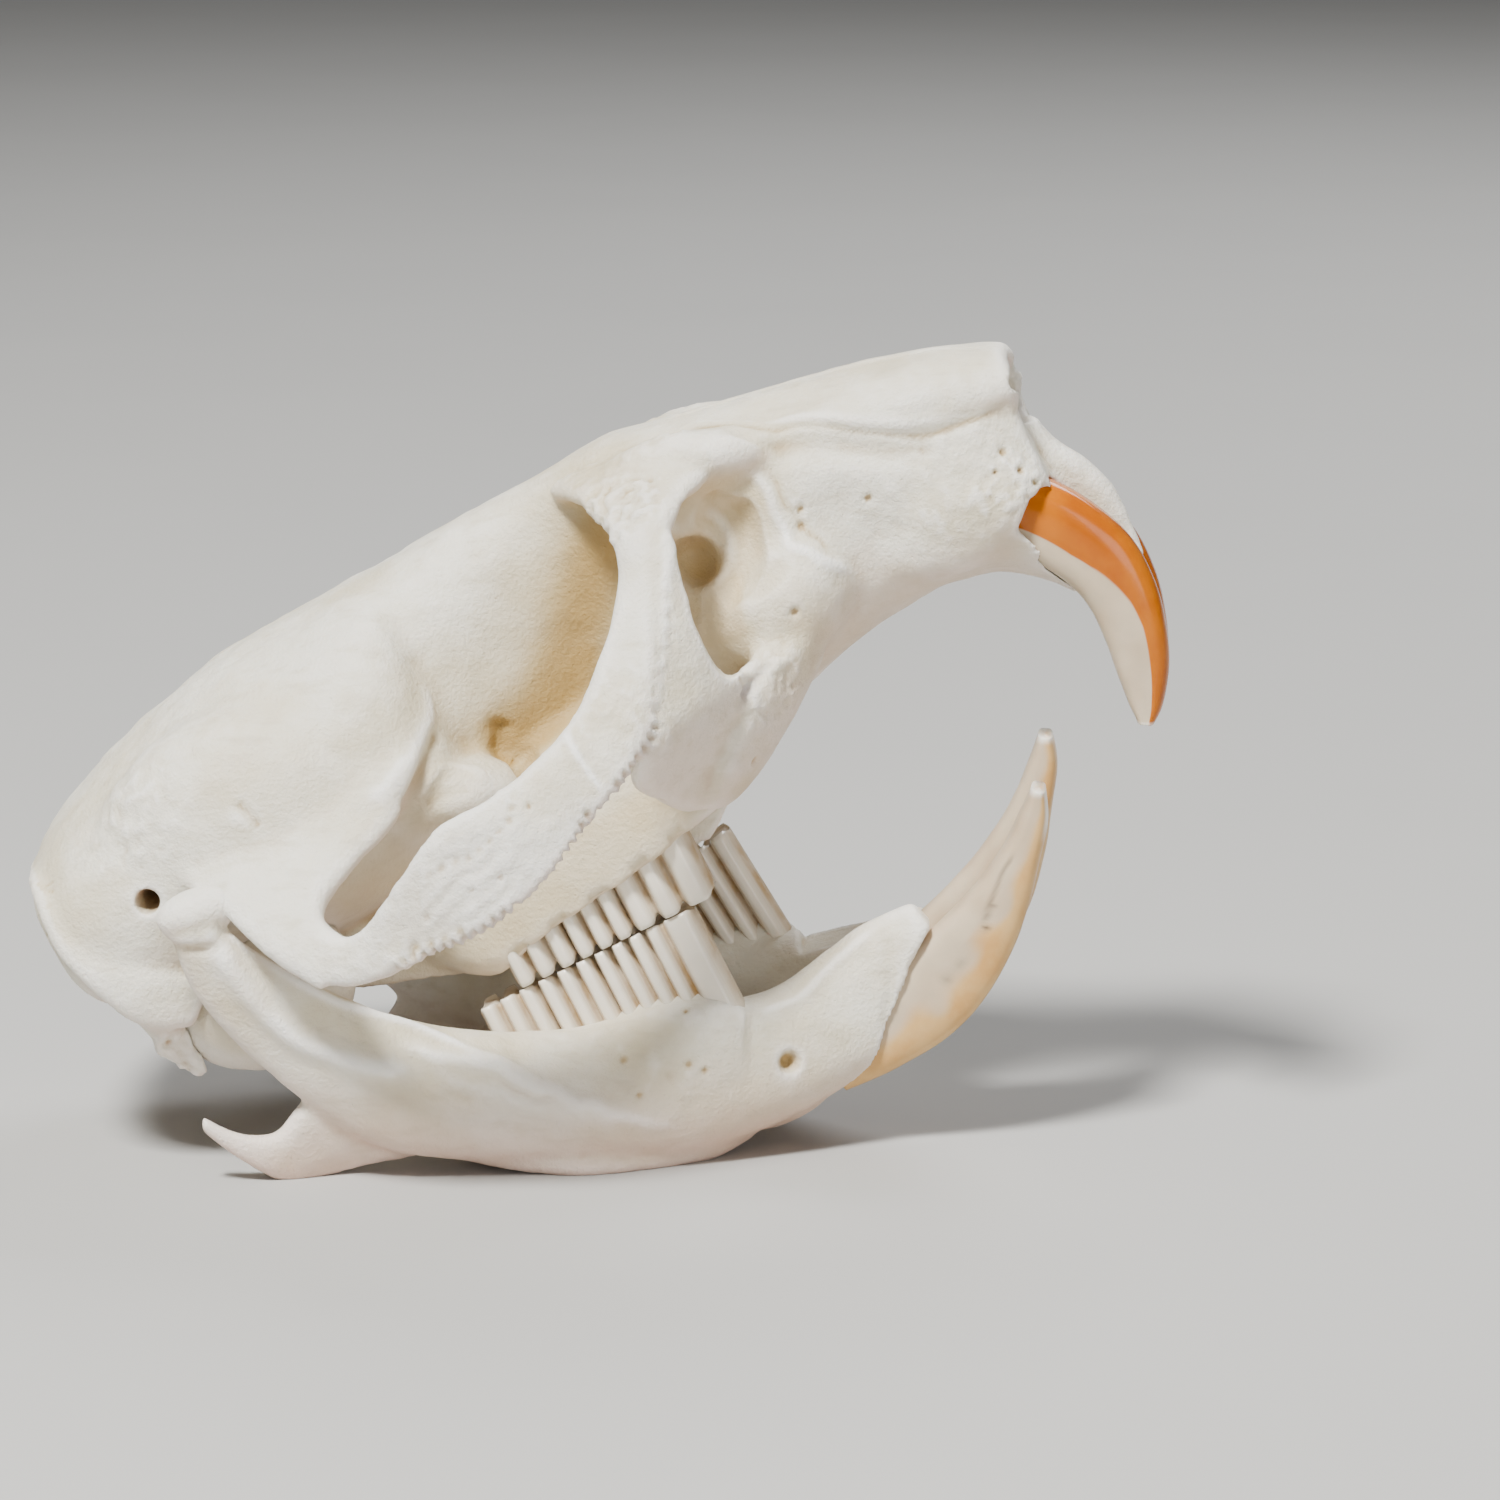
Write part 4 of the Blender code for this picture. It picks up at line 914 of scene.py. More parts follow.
def carve_cranium(work):
    """Every mark of the cranium, in the skull's own frame on the right side and mirrored."""
    # Bones' borders
    work.line(((47.5, -2.6, 11.3), (49.1, -3.6, 10.5), (50.7, -4.2, 9.5), (53.5, -4.9, 8.8),
               (56.4, -4.9, 6.9), (59.4, -5.3, 5.2), (61.7, -5.0, 4.7), (64.4, -4.6, 4.2)), 0.24, 0.16,
              tint="stain", amount=0.12)
    work.line(((47.5, -2.4, 11.8), (50.8, -4.1, 10.1), (53.6, -4.8, 9.3), (56.6, -5.1, 7.5),
               (59.6, -5.2, 5.9), (62.0, -5.0, 5.4)), 0.4, -0.14)
    work.line(((45.6, -0.1, 12.4), (52.0, -0.1, 11.0), (60.0, -0.1, 9.3), (65.6, -0.1, 7.4)), 0.22, 0.16,
              True)
    # A raised ridge with a painted highlight
    work.line(((49.6, -5.4, 8.4), (50.1, -5.8, 6.6), (49.9, -6.2, 4.6), (50.4, -6.6, 3.0),
               (51.2, -6.6, 1.4), (52.2, -6.0, -0.4)), 0.36, -0.24, tint="bright", amount=0.6, wander=0.3)
    work.line(((50.7, -5.8, 7.2), (50.7, -6.0, 5.0), (51.2, -6.2, 3.2), (52.0, -6.2, 1.4)), 0.22, 0.13,
              tint="stain", amount=0.15, wander=0.4)
    # A raised rim beside the hole, with a painted highlight
    work.line(((46.3, -5.0, 6.8), (46.9, -5.2, 5.6), (46.7, -5.2, 4.3), (45.9, -5.2, 3.1),
               (44.8, -5.2, 2.6)), 0.3, -0.2, tint="bright", amount=0.7)
    work.line(((49.0, -5.2, 10.0), (51.1, -5.6, 8.9), (54.2, -5.7, 7.2), (57.1, -5.7, 5.4),
               (60.3, -5.5, 4.1)), 0.9, 0.42)
    # A thin ridge on the bar, with a painted highlight
    work.line(((35.2, -16.8, 0.6), (35.4, -17.5, -0.9), (35.6, -17.8, -2.1), (35.8, -17.9, -3.2)), 0.22,
              -0.14, tint="bright", amount=0.8)
    # A row of pits, darkened inside with painted shade
    work.line(((31.6, -18.7, -0.9), (30.8, -19.3, -1.9), (29.8, -19.7, -2.7), (28.5, -19.9, -3.0),
               (26.5, -20.0, -3.1), (24.9, -19.9, -3.2)), 0.2, 0.16, beads=0.8, tint="stain", amount=0.3,
              wander=0.3)
    bulge = ((27.4, -6.2, 5.0), (27.1, -7.3, 3.6), (26.2, -8.9, 2.7), (24.9, -10.0, 1.9),
             (23.5, -11.4, 1.3), (22.2, -11.9, 1.3))
    # The bulge's edge raised, with a painted highlight
    work.line(bulge, 0.6, -0.2, tint="bright", amount=0.4)
    work.line([(x + 0.1, y, z - 1.1) for x, y, z in bulge[1:-1]], 0.6, 0.28)
    work.line(((24.6, -9.5, -0.2), (26.2, -8.8, 0.5), (27.4, -7.9, 0.3), (28.8, -8.8, -1.0)), 0.34, -0.16,
              wander=0.2)
    work.line(((24.9, -10.0, -1.2), (26.0, -9.6, -0.6), (27.4, -9.0, -0.9)), 0.5, 0.14)
    for drop in (0.0, 0.9, 1.8, 2.6):
        work.line(((23.6, -20.0, -4.6 - 0.5 * drop), (26.4, -20.0, -3.2 - drop),
                   (29.6, -19.8, -2.6 - drop)), 0.22, 0.09, wander=0.8)
    for shift in (0.0, 2.9, 5.8, 8.7, 11.6):
        work.line(((24.4 + shift, -7.5, -11.9 + 0.21 * shift), (25.8 + shift, -7.6, -11.4 + 0.2 * shift)),
                  0.4, 0.26)
    # Front edge of the bar, the rough lower edge of the arch and their pits
    upper = ((44.6, -11.2, 7.0), (43.5, -12.4, 5.0), (42.4, -13.6, 2.9), (40.8, -15.2, 0.2),
             (39.2, -16.4, -1.9))
    # Painted highlight along the bar's front edge
    work.line(upper, 0.4, -0.16, tint="bright", amount=0.4)
    work.line(upper[1:], 0.26, 0.16, beads=1.15, wander=0.5)
    ridge = ((40.2, -15.6, -0.9), (39.2, -16.4, -2.2), (37.4, -17.2, -3.2), (35.7, -17.9, -4.0),
             (33.0, -18.7, -5.2), (30.5, -19.4, -6.2), (27.0, -20.0, -6.9), (23.5, -20.0, -7.0),
             (21.0, -19.6, -6.8))
    work.line(ridge, 0.5, -0.16, tint="grey", amount=0.5)
    # A row of pits along it, darkened inside with painted shade
    work.line(ridge, 0.34, 0.5, beads=0.66, tint="stain", amount=0.35, wander=0.4)
    # These pits and holes are darkened inside with painted shade
    for at in ((27.0, -20.2, -4.7), (28.8, -20.1, -4.8), (31.9, -19.0, -2.0), (24.0, -20.0, -5.0)):
        work.spot(at, 0.17, 0.25, tint="cavity")
    for at in ((23.5, -20.0, -6.5), (24.4, -20.1, -6.6), (25.4, -20.2, -6.5), (22.6, -19.9, -6.3)):
        work.spot(at, 0.24, 0.22, tint="stain", amount=0.6)
    for at in ((36.6, -11.8, -5.7), (37.2, -11.6, -6.0), (42.6, -7.4, -5.6), (42.2, -8.0, -6.2)):
        work.spot(at, 0.26, 0.4, tint="stain", amount=0.5)
    # Scar of the jaw muscle under the foramen
    work.line(((44.0, -10.5, -3.2), (44.8, -9.9, -2.8), (45.6, -9.3, -2.4), (46.3, -8.7, -2.1)), 0.42,
              0.34, tint="grey", amount=0.8)
    # A raised lip on the scar, with a painted highlight
    work.line(((44.2, -9.9, -2.2), (45.0, -9.3, -1.7), (45.8, -8.7, -1.4)), 0.34, -0.05, tint="bright",
              amount=0.3)
    work.spot((46.4, -8.4, -3.6), 1.0, 0.25)
    work.rough((45.6, -9.0, -3.2), (3.0, 2.4, 2.6), 0.5, 0.1, 25)
    work.patch("stain", (46.6, -8.2, -3.4), (2.4, 2.4, 2.4), 0.25)
    # Small holes of the muzzle, darkened inside with painted shade
    for at, size in MUZZLE_PITS:
        work.spot(at, size, 0.35, tint="stain", amount=0.5)
    # Slit and small marks on the braincase
    work.line(((15.7, -12.3, 4.5), (16.1, -12.6, 3.6), (16.3, -12.8, 2.7)), 0.3, 0.2)
    work.spot((15.4, -12.4, 3.6), 0.7, -0.12)
    for x, z in ((2.0, 5.2), (2.2, 4.2), (1.8, 3.2), (1.6, 2.0)):
        work.line(((x, -8.6, z), (x + 0.8, -9.6, z + 0.1)), 0.12, 0.1, tint="stain", amount=0.3)
    for at, radii, size, height, seed in CRUSTS:
        work.rough(at, radii, size, height, seed)
    work.rough((10.0, 0.0, 9.5), (9.0, 7.0, 2.5), 1.6, 0.06, 21, True)
    # Hollows and swellings
    work.spot((54.4, -5.6, 0.8), 2.8, 1.1)
    work.spot((53.4, -5.6, 3.6), 1.9, 0.5)
    work.spot((59.6, -5.5, 0.4), 3.2, -0.45)
    work.rough((60.0, -5.4, 1.5), (5.5, 2.4, 3.4), 0.7, 0.06, 24)
    work.spot((41.2, -11.8, -3.4), 2.4, 0.35)
    work.spot((31.5, -3.4, 4.5), 2.4, 0.25)
    for size, height, seed in SKULL_GRAIN:
        work.grain(size, height, seed)
    # Tints: tan in the orbit and in hollows and holes, partly staining and partly painted shade, grey
    # patches, and a painted pinkish shade on faces that point down
    # Painted shade mixed with tan staining on the orbit wall
    work.line(((41.6, -5.2, 9.0), (39.8, -4.0, 7.4), (37.7, -3.4, 5.2), (35.6, -3.2, 3.0),
               (33.2, -3.4, 0.9), (31.0, -4.4, -0.2)), 3.7, 0.0, tint="stain", amount=0.92, fade=False)
    work.line(((35.8, -3.2, 2.2), (33.4, -3.5, 0.2), (31.2, -4.4, -0.4), (29.9, -4.8, 0.2)), 2.4, 0.0,
              tint="stain", amount=1.0, fade=False)
    # Painted shade in the hollow under the bulge
    work.patch("stain", (25.6, -8.6, -0.8), (2.6, 2.2, 1.8), 0.36)
    # A groove in the orbit, darkened as painted shade
    work.line(((30.2, -4.4, 1.0), (29.4, -4.8, -0.2), (29.8, -4.5, -1.8)), 0.7, 0.5, tint="stain",
              amount=1.0)
    # A small bump with a painted highlight
    work.spot((29.4, -5.2, 0.2), 0.4, -0.4, tint="bright", amount=0.6)
    for at, radii, amount in SKULL_STAIN_AND_SHADE:
        work.patch("stain", at, radii, amount)
    work.patch("grey", (27.0, -20.0, -4.4), (7.5, 2.6, 3.0), 0.38)
    work.patch("grey", (43.0, -10.4, 8.0), (3.0, 3.0, 3.0), 0.12)
    # Painted shade: a pinkish tint on surfaces that face down
    down = np.clip(-work.out[:, 2] - 0.1, 0, 0.7) / 0.7
    work.tints["pink"] = np.maximum(work.tints["pink"], UNDERSIDE_SHADE_SHARE * down)


def cranium_shapes():
    """The thick forms and the thin forms of the cranium."""
    big = [hull(VAULT, 2.2, 2.5), hull(BROW, 2.6, 2.2), hull(SNOUT, 2.5, 2.3), hull(PALATE, 2.2, 4.0),
           hull(NOSE_ROOF, 2.5, 2.5), hull(SKULL_BASE, 2.4, 2.8)]
    thin = [strap(SEPTUM, 3.0)]
    for _, side in SIDES:
        ends = (1, 4)
        big.append(strap(sided(TEMPLE, side, ends)))
        big += [side_ball(side, *numbers) for numbers in SWELLINGS]
        big.append(strap(sided(FAN, side, ends)))
        thin.append(side_ball(side, *NECK_KNOB))
        thin.append(strap(sided(NUCHAL_CREST, side, ends)))
        thin.append(limb(sided(PAROCCIPITAL, side)))
        thin.append(strap(sided(ARCH, side, ends), steps=8))
        thin.append(strap(sided(PLATE, side, ends), steps=8))
        thin.append(strap(sided(PTERYGOID, side, ends)))
    return big, thin


def cranium_cuts():
    """Everything that is hollowed out of the cranium."""
    cuts = [ball(*NECK_HOLE), ball(*NOSE_HOLE), ball(*NOSE_NOTCH), hull(PALATE_HOLLOW, 3.0, 2.0)]
    at, radii, angle = BULLA
    room = tooth_room(UPPER_INCISOR, UPPER_WIDE)
    for _, side in SIDES:
        cuts.append(side_ball(side, *PALATE_SLIT))
        cuts.append(limb(sided(FORAMEN, side), 2.6))
        cuts.append(limb(sided(MUZZLE_WAY, side)))
        cuts.append(side_ball(side, *MUZZLE_HOLE))
        cuts.append(side_ball(side, *EYE_HOLLOW))
        cuts.append(prism(SOCKET_EDGE, side * SOCKET_NEAR, side * SOCKET_FAR))
        cuts.append(prism(NOSE_EDGE, side * NOSE_NEAR, side * NOSE_FAR))
        cuts.append(side_ball(side, at, [r + BULLA_ROOM for r in radii], (0, 0, angle)))
        cuts.append(side_ball(side, *EAR_HOLE))
        cuts.append(side_ball(side, *NERVE_HOLE))
        cuts.append(room if side < 0 else mirrored(room))
    return cuts


def cranium_piece():
    """The cranium in one skin, hollowed, carved and tinted."""
    big, thin = cranium_shapes()
    thing = one_skin(make_object("cranium", big), *BODY_SKIN)
    whole = ([tuple(p) for p in points_of(thing.data)], faces_of(thing.data))
    bpy.data.objects.remove(thing, do_unlink=True)
    thing = one_skin(make_object("cranium", [whole] + thin), *WHOLE_SKIN)
    cut_away(thing, cranium_cuts())
    one_skin(thing, bpy.context.scene.skull_bone.grain, LAST_ROUNDS)
    main_body(thing)
    work = Carving(thing, True)
    carve_cranium(work)
    work.shade_hollows()
    work.finish()
    return place(thing, SKULL_POSE)


def bulla_piece(name, side):
    """One ear shell, a thin bubble of bone under the skull."""
    at, radii, angle = BULLA
    thing = make_object(name, [ball((at[0], side * at[1], at[2]), radii, (0, 0, side * angle), 56, 84)])
    work = Carving(thing)
    work.grain(2.4, 0.16, 51)
    work.grain(0.9, 0.05, 52)
    work.line(((8.0, side * 11.0, -5.0), (10.5, side * 11.4, -7.4), (13.5, side * 10.2, -8.6)), 0.35, 0.2)
    # A pit in the shell, darkened inside with painted shade
    work.spot((9.4, side * 11.2, -4.6), 1.0, 0.8, tint="stain", amount=0.7)
    work.patch("stain", (9.0, side * 11.0, -6.0), (3.4, 2.0, 3.0), 0.4)
    # Painted shade: pinkish on the shell's downward faces
    work.tints["pink"] = 0.25 * np.clip(-work.out[:, 2], 0, 1)
    work.shade_hollows()
    work.finish()
    return place(thing, SKULL_POSE)


# Cheek teeth
UPPER_TEETH = ((23.8, 27.9, (1, 1, 1)), (27.8, 31.6, (1, 1, 1)), (31.5, 36.9, (1, 1, 1.25)))
LOWER_TEETH = ((21.0, 24.9, (1, 1, 1)), (24.8, 28.6, (1, 1, 1)), (28.5, 35.2, (1, 1, 1, 1, 1.9)))
UPPER_OUTER, UPPER_INNER = -6.75, -3.3
LOWER_OUTER, LOWER_INNER = -6.55, -3.5
UPPER_ROOT, LOWER_ROOT = (-8.0, -7.4), (-18.6, -20.4)
BITE_GAP = 0.06
TOOTH_GAP = 0.04
TOOTH_LEVELS = 22
INNER_WIDEST = 1.15
# A ridge's points, its flat outer share, and how much flatter a wide ridge is
RIDGE_STEPS = 12
RIDGE_FLAT = 0.30
RIDGE_FLATTER = 0.28
# How deep the groove beside a ridge is, in millimetres
RIDGE_ROUND = 0.12
GROOVE_DEPTH = 0.92
# The worn bite, rim to floor: share of the width and depth
WORN_RINGS = ((0.9, 0.0), (0.84, 0.14), (0.6, 0.2))


def left_lift(x):
    """How far the raised left half lifts the bite at a place along the tooth row."""
    return max(0.0, 0.9 + sin(radians(LEFT_PITCH)) * (x - 37.2))


def tooth_outline(start, end, outer, inner, ridges, inner_ridges):
    """A tooth's outline from above, ridge by ridge, and how deep in a groove each point lies."""
    sides = []
    for edge, inward, shares in ((outer, 1, ridges), (inner, -1, inner_ridges)):
        row = []
        x = start
        for share in shares:
            pitch = (end - start) * share / sum(shares)
            flat = RIDGE_FLAT + RIDGE_FLATTER * (share - 1.0)
            for step in range(RIDGE_STEPS + 1):
                u = 0.01 + 0.98 * step / RIDGE_STEPS
                away = min(max((abs(2 * u - 1) - flat) / (0.97 - flat), 0.0), 1.0)
                fall = RIDGE_ROUND * abs(2 * u - 1) ** 2 + GROOVE_DEPTH * away ** 1.5
                row.append((x + pitch * u, edge + inward * fall, min(1.0, max(0.0, fall - 0.3) / 0.5)))
            x += pitch
        sides.append(row)
    outline = sides[0] + sides[1][::-1]
    return [(x, y) for x, y, _ in outline], [deep for _, _, deep in outline]


def cheek_tooth(start, end, outer, inner, ridges, root, bite, up):
    """One cheek tooth from root level to bite level; levels are given at its rear and front end."""
    inner_ridges = ridges[:-1] + (min(ridges[-1], INNER_WIDEST),)
    outline, depth = tooth_outline(start, end, outer, inner, ridges, inner_ridges)
    count = len(outline)
    middle = (outer + inner) / 2
    points, deep = [], []
    for i in range(TOOTH_LEVELS + 1):
        u = i / TOOTH_LEVELS
        swell = 1.0 + 0.05 * sin(pi * u) - 0.05 * max(0.0, u - 0.93) / 0.07
        for (x, y), d in zip(outline, depth):
            along = (x - start) / (end - start)
            low = root[0] + (root[1] - root[0]) * along
            high = bite[0] + (bite[1] - bite[0]) * along
            dip = up * 0.3 * d * max(0.0, u - 0.8) / 0.2
            points.append((x, middle + (y - middle) * swell, low + (high - low) * u - dip))
            deep.append(d)
    faces = bands(count, TOOTH_LEVELS + 1)
    faces.append(tuple(range(count)))
    # The worn bite: a raised enamel rim round sunken dentine
    top = TOOTH_LEVELS * count
    before = top
    for shrink, sink in WORN_RINGS:
        here = len(points)
        for k in range(count):
            x, y, z = points[top + k]
            centre = (y + points[top + (count - 1 - k)][1]) / 2
            points.append((x, centre + (y - centre) * shrink, z - up * sink))
            deep.append(0.35 + sink)
        for k in range(count):
            m = (k + 1) % count
            faces.append((before + k, before + m, here + m, here + k))
        before = here
    for k in range(count // 2 - 1):
        faces.append((before + k, before + k + 1, before + count - 2 - k, before + count - 1 - k))
    return (points, faces), deep


def cheek_row(name, teeth, outer, inner, upper, side, pose, move=None, hook=0.0):
    """A row of cheek teeth as one piece."""
    shapes, depths = [], []
    for number, (start, end, ridges) in enumerate(teeth):
        rise = (0.0, 0.0)
        if upper and side > 0:
            rise = (left_lift(start), left_lift(end) + (HOOK if number == 2 else 0.0))
        if upper:
            bite, root, up = (BITE + BITE_GAP + rise[0], BITE + BITE_GAP + rise[1]), UPPER_ROOT, -1
        else:
            more = hook if number == 2 else 0.0
            bite, root, up = (BITE - BITE_GAP, BITE - BITE_GAP + more), LOWER_ROOT, 1
        shape, deep = cheek_tooth(
            start + TOOTH_GAP, end - TOOTH_GAP, outer, inner, ridges, root, bite, up)
        if move is not None:
            shape = turned(shape, move)
        if side > 0:
            shape = mirrored(shape)
        shapes.append(shape)
        depths += deep
    thing = make_object(name, shapes)
    points = points_of(thing.data)
    stain = np.clip(np.array(depths) * 1.1, 0, 1) * np.clip(0.8 + 0.4 * lumps(points, 1.5, 61), 0, 1)
    add_layer(thing.data, "stain", stain)
    add_layer(thing.data, "grey", np.clip(lumps(points, 0.9, 62) - 0.2, 0, 1) * 0.3)
    return place(thing, pose)


# Front teeth
TOOTH_POINTS = 72
TOOTH_STEPS = 14
ENAMEL_PROUD = 0.05


def front_tooth(name, rows, wide, side, pose, marks):
    """One front tooth with its enamel face and dentine, carved and tinted."""
    shape = limb(tooth_rows(rows, wide), TOOTH_SQUARE, TOOTH_POINTS, TOOTH_STEPS)
    if side > 0:
        shape = mirrored(shape)
    thing = make_object(name, [shape])
    work = Carving(thing)
    # The angle round the tooth and the share along it of each point; its two hubs count as zero
    rings = (len(work.points) - 2) // TOOTH_POINTS
    turns, along = np.zeros((2, len(work.points)))
    turns[:-2] = np.tile(np.arange(TOOTH_POINTS) * 2 * pi / TOOTH_POINTS, rings)
    along[:-2] = np.repeat(np.arange(rings) / (rings - 1), TOOTH_POINTS)
    marks(work, turns, along, side)
    work.finish()
    return place(thing, pose)


def upper_marks(work, turns, along, side):
    """Orange enamel wraps the front and a little of the outer side, standing a hair proud."""
    front = np.sin(turns)
    outer = -np.cos(turns)
    lower = np.clip((along - 0.3) / 0.3, 0, 1)
    cover = np.clip(0.5 + (front + (0.16 - 0.33 * lower) * np.clip(outer, 0, 1)) * 4.0, 0, 1)
    work.tints["enamel"] = cover
    work.points += work.out * (ENAMEL_PROUD * np.clip((cover - 0.45) * 10, 0, 1))[:, None]
    work.tints["bright"] = 0.55 * np.clip((along - 0.965) * 40, 0, 1)
    work.tints["stain"] = 0.3 * np.clip(lumps(work.points, 1.2, 66), 0, 1)
    work.grain(1.5, 0.02, 55)


LOWER_CRACKS = (
    ((22.3, 14.0), (22.9, 15.6), (23.6, 17.4), (24.1, 18.8)), ((20.2, 11.0), (21.2, 12.4), (22.0, 13.4)))


def lower_marks(work, turns, along, side):
    """Pale amber enamel on the front, chipped white near the tip, and a dark crack."""
    front = np.sin(turns) * -1
    cover = np.clip(0.5 + (front - 0.1 + 0.25 * lumps(work.points, 1.6, 68)) * 0.5, 0, 1)
    work.tints["enamel"] = cover
    chipped = np.clip((along - 0.955) * 30, 0, 1)
    if side < 0:
        rim = np.clip((along - 0.78) * 14, 0, 1) * np.clip((front - 0.55) * 5, 0, 1)
        chipped = np.maximum(chipped, rim)
    work.tints["bright"] = chipped * 0.85
    work.tints["stain"] = 0.35 * np.clip(0.3 + lumps(work.points, 1.6, 67), 0, 1)
    for crack in LOWER_CRACKS:
        work.line([(x, side * 3.3, z) for x, z in crack], 0.13, 0.10, tint="grey", amount=0.5, wander=0.25)
    for x, z in ((22.5, 14.2), (22.9, 15.5)):
        work.spot((x, side * 3.3, z), 0.16, 0.16, tint="grey", amount=0.8)
    work.grain(1.5, 0.03, 56)


# Lower jaw
JAW_BEAM = (
    (-22.4, -14.0, 16.2, 1.4, 1.3), (-21.0, -13.7, 13.8, 2.1, 1.2), (-18.6, -13.1, 11.4, 2.7, 1.2),
    (-15.4, -12.2, 8.9, 3.3, 1.5), (-11.4, -10.9, 6.5, 3.9, 2.0), (-6.4, -9.2, 5.2, 3.8, 2.6),
    (-1.0, -7.6, 4.9, 4.1, 3.1), (4.0, -5.8, 5.3, 4.5, 3.2), (8.2, -4.3, 5.9, 4.0, 3.0),
    (11.8, -3.2, 7.2, 3.6, 2.5), (15.2, -2.3, 9.5, 3.6, 1.85), (17.6, -2.0, 11.1, 3.7, 1.66),
    (20.0, -1.9, 13.1, 2.9, 1.55))
JAW_CONDYLE = ((-22.1, -14.1, 17.2), (2.5, 1.5, 1.35), (0, -16, 12))
JAW_LIP = ((-23.8, -14.4, 16.2, 0.5, 0.5), (-22.6, -15.0, 15.9, 0.55, 0.5), (-21.0, -14.9, 16.2, 0.45, 0.4))
JAW_ANGLE = (
    (-9.5, -10.2, 7.6, -9.7, -9.0, 1.8, 2.0), (-13.0, -11.4, 7.6, -13.9, -9.8, 1.0, 1.6),
    (-16.4, -11.8, 5.6, -16.8, -10.5, 0.3, 1.7), (-18.0, -11.9, 3.7, -18.2, -11.2, 0.6, 1.5),
    (-19.6, -12.2, 3.5, -19.6, -11.9, 1.5, 1.3), (-21.2, -12.6, 4.1, -21.0, -12.4, 2.5, 1.2),
    (-22.4, -12.9, 4.9, -22.4, -12.8, 3.8, 1.0))
JAW_RIDGE = (
    (-8.0, 1.3, 6.6, 5.0, 3.4), (-6.4, 2.3, 7.7, 5.0, 3.0), (-2.0, 2.7, 8.1, 5.0, 3.0),
    (2.6, 2.8, 9.9, 5.0, 3.0), (6.6, 2.6, 10.6, 5.0, 3.0), (8.6, 1.8, 9.8, 5.0, 3.0))
JAW_CREST = (
    (-8.0, -11.0, 8.2, 0.8, 0.6), (-5.4, -10.9, 7.2, 1.0, 0.7), (-2.0, -10.2, 5.6, 1.1, 0.8),
    (1.0, -9.3, 4.5, 1.1, 0.8), (4.0, -8.0, 3.6, 1.1, 0.9), (6.4, -6.4, 3.2, 1.0, 0.8))
JAW_KEEL = (
    (-8.0, -9.4, 2.5, 0.9, 0.8), (-4.0, -9.4, 1.7, 0.9, 0.9), (-0.5, -9.0, 1.2, 0.8, 1.0),
    (3.0, -7.4, 1.2, 0.8, 1.1), (6.4, -5.2, 1.3, 0.8, 1.2), (8.6, -3.8, 2.2, 0.8, 1.2))
CHIN_EDGE = (
    (14.4, 0.5), (15.2, 3.2), (15.9, 5.3), (16.3, 6.6), (16.9, 8.6), (17.6, 10.1), (18.0, 12.0),
    (18.9, 13.8), (19.5, 14.6), (20.6, 16.4), (32.0, 18.0), (32.0, 0.5))
JAW_RIDGE_Y = -5.6
JAW_SWELL = ((9.5, -2.6, 5.4), (5.2, 2.4, 3.6), (0, -24, 0))
# Cut away: all that lies past the middle of the skull, and the y levels of the other cuts
JAW_INSIDE = ((-40, -0.15, -10), (40, 12, 40))
CHIN_WIDE = (-10.0, 1.0)
WORN_WIDE = (-9.0, 0.5)
WORN_EDGE = ((9.0, 9.0), (13.5, 10.2), (20.6, 12.6), (26.0, 12.6), (26.0, 24.0), (9.0, 24.0))


# Marks of the right half of the jaw: place, size and depth
JAW_NERVE_HOLE = (11.2, -6.1, 6.7)
JAW_HOLLOWS = (
    ((-18.6, -13.9, 13.6), 1.2, 0.3), ((-16.6, -13.6, 12.0), 1.4, 0.45), ((-14.6, -13.3, 10.9), 1.6, 0.6),
    ((-12.3, -12.8, 10.0), 1.6, 0.55), ((-9.9, -12.0, 9.1), 1.4, 0.4))
JAW_PITS = (
    ((5.5, -8.5, 7.1), 0.24), ((6.4, -8.3, 6.7), 0.2), ((5.2, -7.3, 10.0), 0.2), ((2.7, -9.6, 5.5), 0.22),
    ((1.8, -9.3, 7.6), 0.28))
JAW_DIMPLES = ((1.4, -9.2, 7.2), (2.4, -9.2, 7.9), (4.4, -8.6, 6.4))


